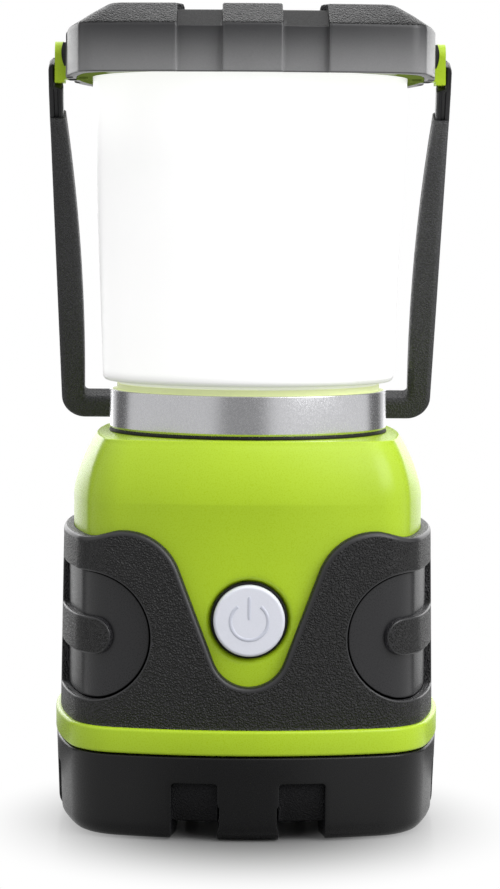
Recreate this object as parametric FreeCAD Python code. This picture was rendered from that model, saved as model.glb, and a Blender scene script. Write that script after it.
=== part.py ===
import FreeCAD, Part
import math
import os

V = FreeCAD.Vector
RIGHT = V(1, 0, 0)
BACK = V(0, 1, 0)
UP = V(0, 0, 1)
ORIGIN = V(0, 0, 0)

# A battery camping lantern, in millimetres. The origin is on the floor at the middle of the base,
# the front with the button faces -Y, and +Z is up.

# Three D cells set the size of the body
cell_radius = 17.1
cell_length = 60.0
nub_radius = 4.75
nub_height = 1.5
cell_gap = 0.25
cell_headroom = 1.4
spring_height = 5.6

# Plan outline of body, base and cap: a square with bulging faces and round corners
face_radius = 110.0
corner_radius = 15.0

# Clearances
turn_gap = 0.3
pin_gap = 0.06
seat_gap = 0.05

# Heights of the stack, from the floor up
base_height = 19.1
base_seam = 0.3
band_height = 5.7
shoulder_height = 13.8
ring_seam = 0.5
ring_height = 9.4
lip_height = 1.3
neck_show = 0.8
shade_height = 70.1
cap_side_height = 10.7
cap_slope_height = 5.0


# Body shell
band_step = 4.1
cradle_room = 0.25
shell_wall = 2.0
shell_roof = 2.2
shoulder_slope = 0.17
shoulder_drop = 5.5
top_face_radius = 150.0
top_corner_radius = 9.0
band_edge = 0.6
roof_hole_inset = 7.1
boss_radius = 3.2

# Rubber grip with its wave edge, windows and bars
grip_foot = 3.0
grip_head = 2.3
grip_spare = 0.9
wave_valley_rise = 9.5
wave_valley_radius = 8.6
wave_crest_drop = 6.1
wave_crest_inset = 12.3
wave_crest_radius = 13.5
wave_side_drop = 1.7
window_inset = 4.3
window_radius = 14.5
window_drop = 1.9
window_depth = 1.5
bar_height = 8.4
bar_inset = 5.6
side_rib = 16.0

# Power button, its seal and its switch
button_rise = 2.3
button_radius = 8.0
button_hole_radius = 8.6
button_proud = 1.8
button_travel = 1.0
button_flange = 1.8
button_flange_depth = 0.8
button_edge = 0.7
stem_radius = 1.5
switch_size = 6.2
switch_depth = 2.0
plunger_length = 1.3
plunger_show = 0.8

# Control board behind the button
board_width = 27.0
board_height = 27.0
board_thickness = 1.6
board_boss_radius = 2.4
board_boss_inset = 2.8

# Screws
screw_radius = 1.25
screw_head_radius = 2.4
screw_head_height = 1.5
screw_bite = 5.0
slot_width = 0.7
slot_depth = 0.6

# Collar, metal ring and the ramps that lock the shade
ring_inset = 1.6
lip_inset = 1.7
neck_inset = 1.8
neck_wall = 2.2
neck_depth = 8.0
ring_wall = 0.6
ring_edge = 0.5
collar_floor = 2.0
shade_lug_rise = 2.2
shade_lug_height = 2.2
shade_turn = 60.0
shade_travel = 6.4
shade_lugs = 3
lug_reach = 1.3
lug_gap = 0.35
lug_arc = 14.0

# Light engine
heat_sink_disc = 2.0
heat_sink_hub_height = 5.0
heat_sink_gap = 0.5
collar_hole_inset = 3.5
led_board_gap = 0.5
led_board_thickness = 1.6
led_length = 3.5
led_width = 2.8
led_height = 0.8
led_ring_counts = [6, 12, 18]
led_ring_gap = 1.1
led_cover_gap = 0.9
led_cover_wall = 1.5
led_cover_height = 7.0
led_screw_inset = 2.6
led_screw_bearing = 30.0
wire_radius = 0.6
wire_bend = 4.0
led_wire_at = 6.0
led_wire_inner = 12.0
battery_wire_at = 10.0
battery_wire_inner = 16.0
led_wire_drop = 5.0
battery_wire_drop = 2.0

# Shade
shade_taper = 2.6
shade_wall = 2.0
shade_edge = 1.2
shade_socket = 1.5
gasket_width = 1.4

# Cap, its green frame with the bail ears, and the reflector
cap_inset = 2.0
cap_slope_run = 10.0
cap_top_corner = 4.0
cap_overhang = 6.2
cap_wall = 2.6
cap_notch_middle = 11.75
cap_notch_width = 10.1
cap_notch_depth = 1.5
frame_recess = 0.5
frame_thickness = 3.0
frame_gap = 0.2
cone_thickness = 1.3
cone_inset = 3.0
cone_flange = 9.8
cone_tip = 3.0
cone_drop = 20.0
cap_screw_inset = 4.3
ear_gap = 0.3
ear_thickness = 2.3
ear_width = 6.4
ear_drop = 0.8
ear_height = 9.6
ear_waist = 0.8
ear_waist_radius = 7.5
ear_bridge_height = 3.0

# Bail
pivot_rise = 3.5
pin_radius = 1.2
strap_thickness = 1.3
strap_tip = 1.3
strap_bend = 4.6
bar_thickness = 3.3
bar_depth = 4.4
bar_clear = 0.4
sleeve_start = 12.5
sleeve_depth = 6.2
sleeve_edge = 1.4
sleeve_proud = 0.1
sleeve_taper = 1.7
sleeve_head_width = 3.9
sleeve_bend_in = 5.8
sleeve_bend_at = 32.0
sleeve_foot_in = 7.3
sleeve_corner = 5.75
sleeve_throat = 1.0
cross_height = 5.8
cross_rise = 4.1
bail_ring_gap = 0.45
core_cover = 1.3

# Base cover, the ramps that lock it, its contacts and the folding hook
base_inset = 0.2
base_draft = 0.7
base_edge = 3.5
base_notch_middle = 12.1
base_notch_width = 10.3
base_notch_top = 13.0
base_notch_depth = 1.5
base_gap_height = 4.3
rim_width = 8.8
dish_depth = 5.0
base_floor = 2.0
spigot_inset = 5.3
spigot_wall = 1.5
spigot_height = 8.9
socket_extra = 0.4
base_lug_drop = 1.8
base_lug_height = 2.2
base_turn = 60.0
base_travel = 9.0
base_lugs = 4
base_lug_bearing = 45.0
seal_gap = 1.5
seal_width = 2.0
seal_depth = 1.1
contact_board_gap = 1.0
contact_board_thickness = 1.4
spring_wire = 0.5
spring_foot_radius = 7.0
spring_head_radius = 4.0
spring_turns = 3
hook_axis_at = 9.0
hook_wire = 1.2
hook_half = 8.8
hook_reach = 11.0
hook_bend = 2.2
hook_pin_end = 13.6
hook_ear_start = 11.4
hook_ear_end = 14.4
hook_ear_width = 5.0
hook_level = 2.6

# Cradle that holds the cells
cradle_wall = 0.8
cradle_roof = 2.0
cradle_gap = 0.4
cradle_fit = 0.15
cradle_ear_radius = 4.2
cradle_screw_step = 6.5
cradle_screw_bearing = 30.0
contact_thickness = 0.4
contact_length = 12.0
contact_width = 7.0

# Half widths and radii that follow from the cells outwards
cell_pitch = (2 * (cell_radius + cell_gap) + cradle_wall) / math.sqrt(3)
cell_bearings = [90.0, 210.0, 330.0]
inner_face = cell_pitch + cell_radius + cell_gap + cradle_wall + cradle_room
wall_half = inner_face + shell_wall
band_half = wall_half + band_step
base_half = band_half - base_inset
cap_half = band_half - cap_inset
cap_top_half = cap_half - cap_slope_run
grip_foot_half = wall_half + grip_foot
grip_head_half = wall_half + grip_head
window_floor_half = (grip_foot_half + grip_head_half) / 2 - window_depth
window_at = wall_half - window_inset
bar_reach = window_at - bar_inset
wave_crest_at = wall_half - wave_crest_inset
shade_head_radius = cap_half - cap_overhang
shade_foot_radius = shade_head_radius - shade_taper
ring_radius = shade_foot_radius - ring_inset
lip_radius = ring_radius - lip_inset
neck_radius = lip_radius - neck_inset
bore_radius = neck_radius + turn_gap
collar_radius = ring_radius - ring_wall - seat_gap
roof_hole_radius = neck_radius - roof_hole_inset
collar_hole_radius = roof_hole_radius - collar_hole_inset
heat_sink_hub_radius = collar_hole_radius - heat_sink_gap
led_cover_radius = neck_radius - neck_wall - led_cover_gap
led_board_radius = led_cover_radius - led_cover_wall - led_board_gap
led_screw_at = led_board_radius - led_screw_inset
led_outer_ring = led_screw_at - screw_head_radius - led_ring_gap - led_width / 2
cone_radius = shade_head_radius - cone_inset
cone_mouth = cone_radius - cone_flange
cap_screw_at = cone_radius - cap_screw_inset
dish_half = base_half - rim_width
spigot_radius = base_half - spigot_inset
socket_radius = spigot_radius + turn_gap
seal_radius = spigot_radius + seal_gap + seal_width / 2
contact_board_radius = spigot_radius - spigot_wall - contact_board_gap
cradle_screw_at = cell_pitch + cradle_screw_step

# Levels that follow from the floor up
spigot_top = base_height + spigot_height
socket_top = spigot_top + socket_extra
base_floor_top = dish_depth + base_floor
cell_bottom = base_floor_top + contact_board_thickness + spring_height
cell_top = cell_bottom + cell_length
cradle_bottom = socket_top + cradle_gap
cradle_ceiling = cell_top + nub_height + contact_thickness
cradle_top = cradle_ceiling + cradle_roof
band_bottom = base_height + base_seam
band_top = band_bottom + band_height
crease = cell_top + cell_headroom
shell_top = crease + shoulder_height
roof_bottom = shell_top - shell_roof
ring_bottom = shell_top + ring_seam
ring_top = ring_bottom + ring_height
lip_top = ring_top + lip_height
shade_bottom = lip_top + neck_show
cap_bottom = shade_bottom + shade_height
cap_shoulder = cap_bottom + cap_side_height
cap_top = cap_shoulder + cap_slope_height
wave_valley = band_top + wave_valley_rise
wave_crest = crease - wave_crest_drop
grip_side_top = wave_crest - wave_side_drop
window_middle = (band_top + wave_crest) / 2 - window_drop
button_at = (band_top + wave_crest) / 2 + button_rise
collar_floor_top = shell_top + collar_floor
sink_top = collar_floor_top + heat_sink_disc
led_board_top = sink_top + led_board_thickness
frame_bottom = cap_bottom + frame_recess
frame_top = frame_bottom + frame_thickness
cone_level = frame_bottom - cone_thickness

# Places along the button's axis and round the bail's pivots
flange_front = inner_face - (button_radius + button_flange) ** 2 / face_radius / 2 - 2 * turn_gap
flange_back = flange_front - button_flange_depth
plunger_front = flange_back - button_travel
switch_front = plunger_front - plunger_show
board_front = switch_front - switch_depth
board_back = board_front - board_thickness
board_top = button_at + board_height / 2
ear_inner = cap_half + ear_gap
ear_outer = ear_inner + ear_thickness
ear_bottom = cap_bottom - ear_drop
ear_top = ear_bottom + ear_height
pivot_height = cap_bottom + pivot_rise
strap_inner = ear_outer + turn_gap
strap_outer = strap_inner + strap_thickness
sleeve_outer_top = strap_outer + sleeve_proud
cross_level = shell_top + cross_rise
cross_offset = ring_radius + bail_ring_gap + sleeve_depth / 2
bail_drop = pivot_height - cross_level
bail_lean = math.degrees(math.atan2(cross_offset, bail_drop))
bail_length = math.hypot(cross_offset, bail_drop)
ear_sweep = math.hypot(ear_width / 2, pivot_height - ear_bottom)
bar_start = max(ear_sweep, ear_top - pivot_height) + bar_clear


def around(radius, bearing, height):
    """Point at a radius and a bearing in degrees from +X, at a height."""
    angle = math.radians(bearing)
    return V(radius * math.cos(angle), radius * math.sin(angle), height)


def outline(half, height, face=None, corner=None):
    """Closed plan outline of four bulging faces and four round corners."""
    inset = band_half - half
    face = face_radius - inset if face is None else face
    corner = corner_radius - inset if corner is None else corner
    reach = face - half
    middle = (math.sqrt(2 * (face - corner) ** 2 - reach ** 2) - reach) / 2
    tangent_x = face * middle / (face - corner)
    tangent_y = reach - face * (middle + reach) / (face - corner)
    tip = middle + corner / math.sqrt(2)
    face_arc = [V(-tangent_x, tangent_y, height), V(0, -half, height), V(tangent_x, tangent_y, height)]
    corner_arc = [face_arc[2], V(tip, -tip, height), V(-tangent_y, -tangent_x, height)]
    edges = []
    for quarter in range(4):
        turn = FreeCAD.Rotation(UP, 90 * quarter)
        for arc in (face_arc, corner_arc):
            start, mid, end = [turn.multVec(point) for point in arc]
            edges.append(Part.Arc(start, mid, end).toShape())
    return Part.Wire(edges)


def prism(half, low, high):
    """Upright solid of the plan outline between two heights."""
    return Part.Face(outline(half, low)).extrude(V(0, 0, high - low))


def drum(radius, low, high, at=ORIGIN):
    """Upright cylinder between two heights."""
    return Part.makeCylinder(radius, high - low, V(at.x, at.y, low), UP)


def pipe(outer, inner, low, high):
    """Upright tube between two heights."""
    return drum(outer, low, high).cut(drum(inner, low, high))


def block(width, depth, height, centre):
    """Box given by its sizes along X, Y and Z and its centre."""
    corner = centre - V(width / 2, depth / 2, height / 2)
    return Part.makeBox(width, depth, height, corner)


def spun(points):
    """Solid of revolution about Z of a profile given as (radius, height) points."""
    corners = [V(radius, 0, height) for radius, height in points]
    profile = Part.Face(Part.makePolygon(corners + corners[:1]))
    return profile.revolve(ORIGIN, UP, 360)


def both_sides(shape):
    """The shape with its mirror image across the middle of the lantern."""
    return [shape, shape.mirror(ORIGIN, RIGHT)]


def four_faces(shape):
    """The shape repeated on the four faces of the plan outline."""
    return [shape.rotated(ORIGIN, UP, 90 * quarter) for quarter in range(4)]


def ramp(inner, outer, height, lead, bearing, level, sweep):
    """Oblong bar on a right-hand ramp round Z, from a bearing and a level over a sweep in degrees."""
    middle = (inner + outer) / 2
    path = Part.makeHelix(lead, lead * sweep / 360, middle)
    half = height / 2
    corners = [V(inner, 0, -half), V(outer, 0, -half), V(outer, 0, half), V(inner, 0, half)]
    section = Part.makePolygon(corners + corners[:1])
    bar = Part.Wire(path.Edges).makePipeShell([section], True, True)
    return bar.rotated(ORIGIN, UP, bearing).translated(V(0, 0, level))


def screw(length):
    """Slotted screw with its head under the origin and its shank rising along +Z."""
    head = drum(screw_head_radius, -screw_head_height, 0)
    slot = block(2 * screw_head_radius, slot_width, slot_depth, V(0, 0, slot_depth / 2 - screw_head_height))
    return head.cut(slot).fuse(drum(screw_radius, 0, length))


def cord(points):
    """Round wire along straight runs joined by tangent arcs."""
    edges = []
    start = points[0]
    for before, corner, after in zip(points, points[1:], points[2:]):
        to_before = (before - corner).normalize()
        to_after = (after - corner).normalize()
        half_angle = to_before.getAngle(to_after) / 2
        setback = wire_bend / math.tan(half_angle)
        first = corner + to_before * setback
        last = corner + to_after * setback
        inward = (to_before + to_after).normalize()
        mid = corner + inward * (wire_bend / math.sin(half_angle) - wire_bend)
        edges.append(Part.LineSegment(start, first).toShape())
        edges.append(Part.Arc(first, mid, last).toShape())
        start = last
    edges.append(Part.LineSegment(start, points[-1]).toShape())
    section = Part.Wire(Part.Circle(points[0], points[1] - points[0], wire_radius).toShape())
    return Part.Wire(edges).makePipeShell([section], True, False)


def tangent_arc(start, direction, end):
    """Arc that leaves a point in a direction and ends at another point."""
    chord = end - start
    along = V(chord).normalize()
    aside = (direction - along * direction.dot(along)).normalize()
    bow = chord.Length / 2 * math.tan(direction.getAngle(chord) / 2)
    return Part.Arc(start, start + chord * 0.5 + aside * bow, end).toShape()


def coil(foot_radius, head_radius, low, high, turns, wire):
    """Conical coil spring as one tube on pairs of tangent arcs, with its least gap to itself."""
    total = 2 * math.pi * turns
    rise = (high - low - 2 * wire) / total
    taper = (head_radius - foot_radius) / total

    def place(angle):
        radius = foot_radius + taper * angle
        return V(radius * math.cos(angle), radius * math.sin(angle), low + wire + rise * angle)

    def heading(angle):
        radius = foot_radius + taper * angle
        across = taper * math.cos(angle) - radius * math.sin(angle)
        along = taper * math.sin(angle) + radius * math.cos(angle)
        return V(across, along, rise).normalize()

    edges = []
    for quarter in range(4 * turns):
        start_angle = quarter * math.pi / 2
        end_angle = start_angle + math.pi / 2
        start, end = place(start_angle), place(end_angle)
        leave, arrive = heading(start_angle), heading(end_angle)
        span = end - start
        both = leave + arrive
        spread = 2 * (1 - leave.dot(arrive))
        reach = (math.sqrt(span.dot(both) ** 2 + spread * span.dot(span)) - span.dot(both)) / spread
        joint = (start + leave * reach + end - arrive * reach) * 0.5
        edges.append(tangent_arc(start, leave, joint))
        edges.append(tangent_arc(end, arrive * -1, joint))
    section = Part.Wire(Part.Circle(place(0), heading(0), wire).toShape())
    tube = Part.Wire(Part.__sortEdges__(edges)).makePipeShell([section], True, False)
    steps_per_turn = 16
    apart = steps_per_turn * 3 // 4
    step = 2 * math.pi / steps_per_turn
    count = steps_per_turn * turns
    gaps = []
    for first in range(count - apart + 1):
        for later in range(first + apart, count + 1):
            gaps.append((place(first * step) - place(later * step)).Length - 2 * wire)
    print("contact spring, least gap between turns:", round(min(gaps), 2), "mm")
    return tube


def shoulder_section(share, inset):
    """Plan outline of the body shoulder at a share of its height, drawn in by an inset."""
    rise = share * shoulder_height
    bow = (shoulder_drop - shoulder_slope * shoulder_height) / shoulder_height ** 2
    half = wall_half - shoulder_slope * rise - bow * rise ** 2 - inset
    inset_at_wall = band_half - wall_half
    face = face_radius - inset_at_wall
    corner = corner_radius - inset_at_wall
    face += share * (top_face_radius - face)
    corner += share * (top_corner_radius - corner)
    return outline(half, crease + rise, face - inset, corner - inset)


def shoulder(inset, top_share):
    """Solid of the body shoulder from the crease up to a share of its height."""
    steps = 4
    sections = [shoulder_section(top_share * step / steps, inset) for step in range(steps + 1)]
    return Part.makeLoft(sections, True, False)


def roof_boss_points():
    """Where the cradle screws enter the bosses under the roof."""
    return [around(cradle_screw_at, cradle_screw_bearing + 120 * third, cradle_top) for third in range(3)]


def collar_screw_points():
    """Where the collar screws pass through the roof, between the bosses."""
    ring_middle = (roof_hole_radius + collar_radius) / 2
    return [around(ring_middle, cradle_screw_bearing + 60 + 120 * third, roof_bottom) for third in range(3)]


def board_screw_points():
    """Where the board screws go into the bosses on the front wall."""
    across = board_width / 2 - board_boss_inset
    tall = board_height / 2 - board_boss_inset
    return [V(x, -board_back, button_at + z) for x in (-across, across) for z in (-tall, tall)]


def body_cavity(inset):
    """Room inside the wall and the shoulder, drawn in by an inset."""
    share = 1 - shell_roof / shoulder_height
    return prism(inner_face - inset, socket_top, crease).fuse(shoulder(shell_wall + inset, share))


def body_shell():
    band = prism(band_half, band_bottom, band_top)
    rim = [edge for edge in band.Edges if edge.BoundBox.ZLength < seat_gap]
    band = band.makeFillet(band_edge, rim)
    shell = band.fuse([prism(wall_half, band_bottom, crease), shoulder(0, 1)])
    shell = shell.cut([body_cavity(0), drum(socket_radius, band_bottom, socket_top)])
    shell = shell.cut(drum(roof_hole_radius, roof_bottom, shell_top))
    for point in roof_boss_points():
        shell = shell.fuse(drum(boss_radius, cradle_top, roof_bottom, point))
        shell = shell.cut(drum(screw_radius, cradle_top, cradle_top + screw_bite, point))
    for point in collar_screw_points():
        shell = shell.cut(drum(screw_radius + seat_gap, roof_bottom, shell_top, point))
    for point in board_screw_points():
        foot = V(point.x, -board_front, point.z)
        length = wall_half - board_front
        boss = Part.makeCylinder(board_boss_radius, length, foot, BACK * -1)
        shell = shell.fuse(boss.common(prism(wall_half - shell_wall / 2, band_bottom, crease)))
        shell = shell.cut(Part.makeCylinder(screw_radius, screw_bite - board_thickness, foot, BACK * -1))
    hole_start = V(0, -flange_back, button_at)
    shell = shell.cut(Part.makeCylinder(button_hole_radius, band_half, hole_start, BACK * -1))
    return shell.cut(base_lug_grooves()).removeSplitter()


def base_lead():
    return base_travel * 360 / base_turn


def base_lug_level():
    return spigot_top - base_lug_drop


def base_lug_grooves():
    extra = lug_arc / 2 + math.degrees(2 * lug_gap / spigot_radius)
    sweep = base_turn + 2 * extra
    level = base_lug_level() - base_lead() * (base_turn + extra) / 360
    grooves = []
    for lug in range(base_lugs):
        bearing = base_lug_bearing + 360 / base_lugs * lug - base_turn - extra
        outer = spigot_radius + lug_reach + lug_gap
        height = base_lug_height + 2 * lug_gap
        grooves.append(ramp(spigot_radius - turn_gap, outer, height, base_lead(), bearing, level, sweep))
    return grooves


def wave_edge():
    """Right half of the wave edge: valley arc, straight flank and crest arc, as points in the XZ plane."""
    valley = V(0, 0, wave_valley + wave_valley_radius)
    crest = V(wave_crest_at, 0, wave_crest - wave_crest_radius)
    span = crest - valley
    lean = math.atan2(span.z, span.x) - math.acos((wave_valley_radius + wave_crest_radius) / span.Length)
    normal = V(math.cos(lean), 0, math.sin(lean))
    flank_foot = valley + normal * wave_valley_radius
    flank_head = crest - normal * wave_crest_radius
    half_lean = (lean - math.pi / 2) / 2
    valley_mid = valley + V(math.cos(half_lean), 0, math.sin(half_lean)) * wave_valley_radius
    drop = wave_crest - grip_side_top
    end = V(wave_crest_at + math.sqrt(2 * drop * wave_crest_radius - drop ** 2), 0, grip_side_top)
    return V(0, 0, wave_valley), valley_mid, flank_foot, flank_head, V(wave_crest_at, 0, wave_crest), end


def above_wave():
    """Everything above the wave edge, through the whole depth of the body."""
    bottom, valley_mid, foot, head, crest, end = wave_edge()
    side = V(band_half, 0, grip_side_top)
    top = V(band_half, 0, wave_crest + band_half)
    flip = FreeCAD.Matrix()
    flip.A11 = -1
    half = [
        Part.Arc(bottom, valley_mid, foot).toShape(),
        Part.LineSegment(foot, head).toShape(),
        Part.Arc(head, crest, end).toShape(),
        Part.LineSegment(end, side).toShape(),
        Part.LineSegment(side, top).toShape(),
    ]
    mirrored = [edge.transformGeometry(flip) for edge in half]
    lid = Part.LineSegment(top, V(-top.x, 0, top.z)).toShape()
    edges = Part.__sortEdges__(half + [lid] + mirrored)
    face = Part.Face(Part.Wire(edges))
    return face.extrude(BACK * (4 * band_half)).translated(BACK * (-2 * band_half))


def grip_outside():
    """Outer form of the rubber, a little narrower at the head than at the foot."""
    head = wave_crest + grip_spare
    return Part.makeLoft([outline(grip_foot_half, band_top), outline(grip_head_half, head)], True, True)


def slot_through(reach, height):
    """Bar through the whole depth, round at its inner end, from a reach along X outwards."""
    radius = height / 2
    length = 4 * band_half
    round_end = Part.makeCylinder(radius, length, V(reach + radius, -length / 2, window_middle), BACK)
    straight = block(band_half, length, height, V(reach + radius + band_half / 2, 0, window_middle))
    return round_end.fuse(straight)


def beside_rib(shape):
    """The shape without the upright rib of rubber in the middle of the side face."""
    return shape.cut(block(band_half, side_rib, 2 * crease, V(wall_half, 0, crease)))


def window():
    return beside_rib(slot_through(window_at - window_radius, 2 * window_radius))


def grip_wrap():
    rubber = grip_outside().cut(prism(wall_half, band_top, crease))
    rubber = rubber.cut(above_wave())
    return rubber.cut(both_sides(window())).removeSplitter()


def side_panel():
    floor = prism(window_floor_half, band_top, crease).cut(prism(wall_half, band_top, crease))
    return floor.common(window())


def side_bar():
    raised = grip_outside().cut(prism(window_floor_half, band_top, crease))
    return raised.common(beside_rib(slot_through(bar_reach, bar_height)))


def power_button():
    front = wall_half + button_proud
    cap = Part.makeCylinder(button_radius, front - flange_front, V(0, -flange_front, button_at), BACK * -1)
    rim = [edge for edge in cap.Edges if edge.BoundBox.YMax < seat_gap - front]
    cap = cap.makeFillet(button_edge, rim)
    flange_radius = button_radius + button_flange
    flange = Part.makeCylinder(flange_radius, button_flange_depth, V(0, -flange_back, button_at), BACK * -1)
    stem_foot = V(0, -plunger_front, button_at)
    stem = Part.makeCylinder(stem_radius, flange_back - plunger_front, stem_foot, BACK * -1)
    return cap.fuse([flange, stem]).removeSplitter()


def button_seal():
    """Black ring that lines the hole in the front wall."""
    length = shell_wall / 2
    start = V(0, -(wall_half - shell_wall), button_at)
    ring = Part.makeCylinder(button_hole_radius, length, start, BACK * -1)
    return ring.cut(Part.makeCylinder(button_radius + turn_gap, length, start, BACK * -1))


def switch_plunger():
    return Part.makeCylinder(stem_radius, plunger_length, V(0, -plunger_front, button_at), BACK)


def switch_case():
    middle = V(0, -(switch_front + board_front) / 2, button_at)
    case = block(switch_size, switch_depth, switch_size, middle)
    bore_depth = plunger_length - plunger_show + button_travel + turn_gap
    bore = Part.makeCylinder(stem_radius + pin_gap, bore_depth, V(0, -switch_front, button_at), BACK)
    return case.cut(bore)


def control_board():
    middle = V(0, -(board_front + board_back) / 2, button_at)
    board = block(board_width, board_thickness, board_height, middle)
    for point in board_screw_points():
        board = board.cut(Part.makeCylinder(screw_radius + seat_gap, board_thickness, point, BACK * -1))
    return board


def board_screws():
    upright = screw(screw_bite)
    return [upright.rotated(ORIGIN, RIGHT, 90).translated(point) for point in board_screw_points()]


def neck_collar():
    profile = [
        (collar_hole_radius, shell_top),
        (collar_radius, shell_top),
        (collar_radius, ring_top),
        (lip_radius, ring_top),
        (lip_radius, lip_top),
        (bore_radius, lip_top),
        (bore_radius, collar_floor_top),
        (collar_hole_radius, collar_floor_top),
    ]
    collar = spun(profile)
    for point in collar_screw_points() + led_screw_points():
        collar = collar.cut(drum(screw_radius, shell_top, collar_floor_top, point))
    return collar.cut(shade_lug_grooves())


def shade_lead():
    return shade_travel * 360 / shade_turn


def shade_lug_level():
    return shade_bottom - neck_depth + shade_lug_rise


def shade_lug_grooves():
    extra = lug_arc / 2 + math.degrees(2 * lug_gap / neck_radius)
    sweep = shade_turn + 2 * extra
    level = shade_lug_level() - shade_lead() * extra / 360
    grooves = []
    for lug in range(shade_lugs):
        bearing = 360 / shade_lugs * lug - extra
        outer = neck_radius + lug_reach + lug_gap
        height = shade_lug_height + 2 * lug_gap
        grooves.append(ramp(neck_radius - turn_gap, outer, height, shade_lead(), bearing, level, sweep))
    return grooves


def trim_ring():
    inner = ring_radius - ring_wall
    profile = [
        (inner, ring_bottom),
        (ring_radius - ring_edge, ring_bottom),
        (ring_radius, ring_bottom + ring_edge),
        (ring_radius, ring_top - ring_edge),
        (ring_radius - ring_edge, ring_top),
        (inner, ring_top),
    ]
    return spun(profile)


def shade_seal():
    """Flat gasket between the shade and the lip of the collar."""
    inner = neck_radius + pin_gap
    return pipe(inner + gasket_width, inner, lip_top + seat_gap, shade_bottom - seat_gap)


def led_screw_points():
    """Where the light board is screwed through the heat sink into the collar."""
    return [around(led_screw_at, led_screw_bearing + 120 * third, led_board_top) for third in range(3)]


def heat_sink():
    disc_radius = led_cover_radius - seat_gap
    sink = drum(disc_radius, collar_floor_top, sink_top)
    hub = drum(heat_sink_hub_radius, collar_floor_top - heat_sink_hub_height, collar_floor_top)
    sink = sink.fuse(hub).removeSplitter()
    for wire in led_wire_routes():
        sink = sink.cut(drum(wire_radius + turn_gap, roof_bottom - shell_roof, sink_top, wire[-1]))
    for point in led_screw_points():
        sink = sink.cut(drum(screw_radius + seat_gap, collar_floor_top, sink_top, point))
    return sink


def led_board():
    board = drum(led_board_radius, sink_top, led_board_top)
    holes = [drum(screw_radius + seat_gap, sink_top, led_board_top, point) for point in led_screw_points()]
    return board.cut(holes)


def led_board_screws():
    length = led_board_thickness + heat_sink_disc + collar_floor
    upside_down = screw(length).rotated(ORIGIN, RIGHT, 180)
    return [upside_down.translated(point) for point in led_screw_points()]


def led_chips():
    chips = []
    for ring, count in enumerate(led_ring_counts):
        radius = led_outer_ring * (ring + 1) / len(led_ring_counts)
        for chip in range(count):
            centre = V(radius, 0, led_board_top + led_height / 2)
            body = block(led_width, led_length, led_height, centre)
            chips.append(body.rotated(ORIGIN, UP, 360 / count * chip))
    return chips


def led_cover():
    """Clear cap over the lights."""
    inner = led_cover_radius - led_cover_wall
    top = sink_top + led_cover_height
    return drum(led_cover_radius, sink_top, top).cut(drum(inner, sink_top, top - led_cover_wall))


def led_wire_routes():
    routes = []
    middle = -(board_front + board_back) / 2
    level = roof_bottom - led_wire_drop
    for x in (-led_wire_at, led_wire_at):
        start = V(x, middle, board_top)
        turn = V(x, middle, level)
        under = V(x, -led_wire_inner, level)
        end = V(x, -led_wire_inner, sink_top)
        routes.append([start, turn, under, end])
    return routes


def battery_wire_routes():
    routes = []
    middle = -(board_front + board_back) / 2
    level = roof_bottom - battery_wire_drop
    for x in (-battery_wire_at, battery_wire_at):
        start = V(x, middle, board_top)
        turn = V(x, middle, level)
        over = V(x, -battery_wire_inner, level)
        end = V(x, -battery_wire_inner, cradle_top)
        routes.append([start, turn, over, end])
    return routes


def wires(routes):
    return [cord(route) for route in routes]


def collar_screws():
    return [screw(shell_roof + collar_floor).translated(point) for point in collar_screw_points()]


def cell_places():
    return [around(cell_pitch, bearing, 0) for bearing in cell_bearings]


def battery_cradle():
    bore = cell_radius + cell_gap
    tubes = [drum(bore + cradle_wall, cradle_bottom, cradle_top, place) for place in cell_places()]
    ears = []
    for point in roof_boss_points():
        ears.append(drum(cradle_ear_radius, cradle_ceiling, cradle_top, point))
        web_middle = V(cradle_screw_at / 2, 0, (cradle_ceiling + cradle_top) / 2)
        web = block(cradle_screw_at, 2 * cradle_ear_radius, cradle_roof, web_middle)
        ears.append(web.rotated(ORIGIN, UP, math.degrees(math.atan2(point.y, point.x))))
    cradle = tubes[0].fuse(tubes[1:] + ears)
    bores = [drum(bore, cradle_bottom, cradle_ceiling, place) for place in cell_places()]
    holes = [drum(screw_radius + seat_gap, cradle_ceiling, cradle_top, point) for point in roof_boss_points()]
    return cradle.cut(bores + holes).common(body_cavity(cradle_fit)).removeSplitter()


def cradle_screws():
    length = cradle_roof + screw_bite
    return [screw(length).translated(V(p.x, p.y, cradle_ceiling)) for p in roof_boss_points()]


def battery_cells():
    can = drum(cell_radius, cell_bottom, cell_top)
    nub = drum(nub_radius, cell_top, cell_top + nub_height)
    cell = can.fuse(nub)
    return [cell.translated(place) for place in cell_places()]


def top_contacts():
    level = cradle_ceiling - contact_thickness / 2
    plates = []
    for place in cell_places():
        plates.append(block(contact_length, contact_width, contact_thickness, V(place.x, place.y, level)))
    return plates


def diffuser():
    rim = frame_bottom + shade_socket
    slope = (shade_head_radius - shade_foot_radius) / shade_height
    head = shade_foot_radius + slope * (rim - shade_bottom)
    floor_top = shade_bottom + shade_wall
    neck_bottom = shade_bottom - neck_depth
    neck_inner = neck_radius - neck_wall
    profile = [
        (neck_inner, neck_bottom),
        (neck_radius, neck_bottom),
        (neck_radius, shade_bottom),
        (shade_foot_radius, shade_bottom),
        (head, rim),
        (head - shade_wall, rim),
        (shade_foot_radius - shade_wall, floor_top),
        (neck_inner, floor_top),
    ]
    shade = spun(profile)
    foot = [edge for edge in shade.Edges if edge.BoundBox.ZLength < seat_gap]
    foot = [edge for edge in foot if abs(edge.BoundBox.XMax - shade_foot_radius) < seat_gap]
    shade = shade.makeFillet(shade_edge, foot)
    return shade.fuse(shade_lugs_on_neck()).removeSplitter()


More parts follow.
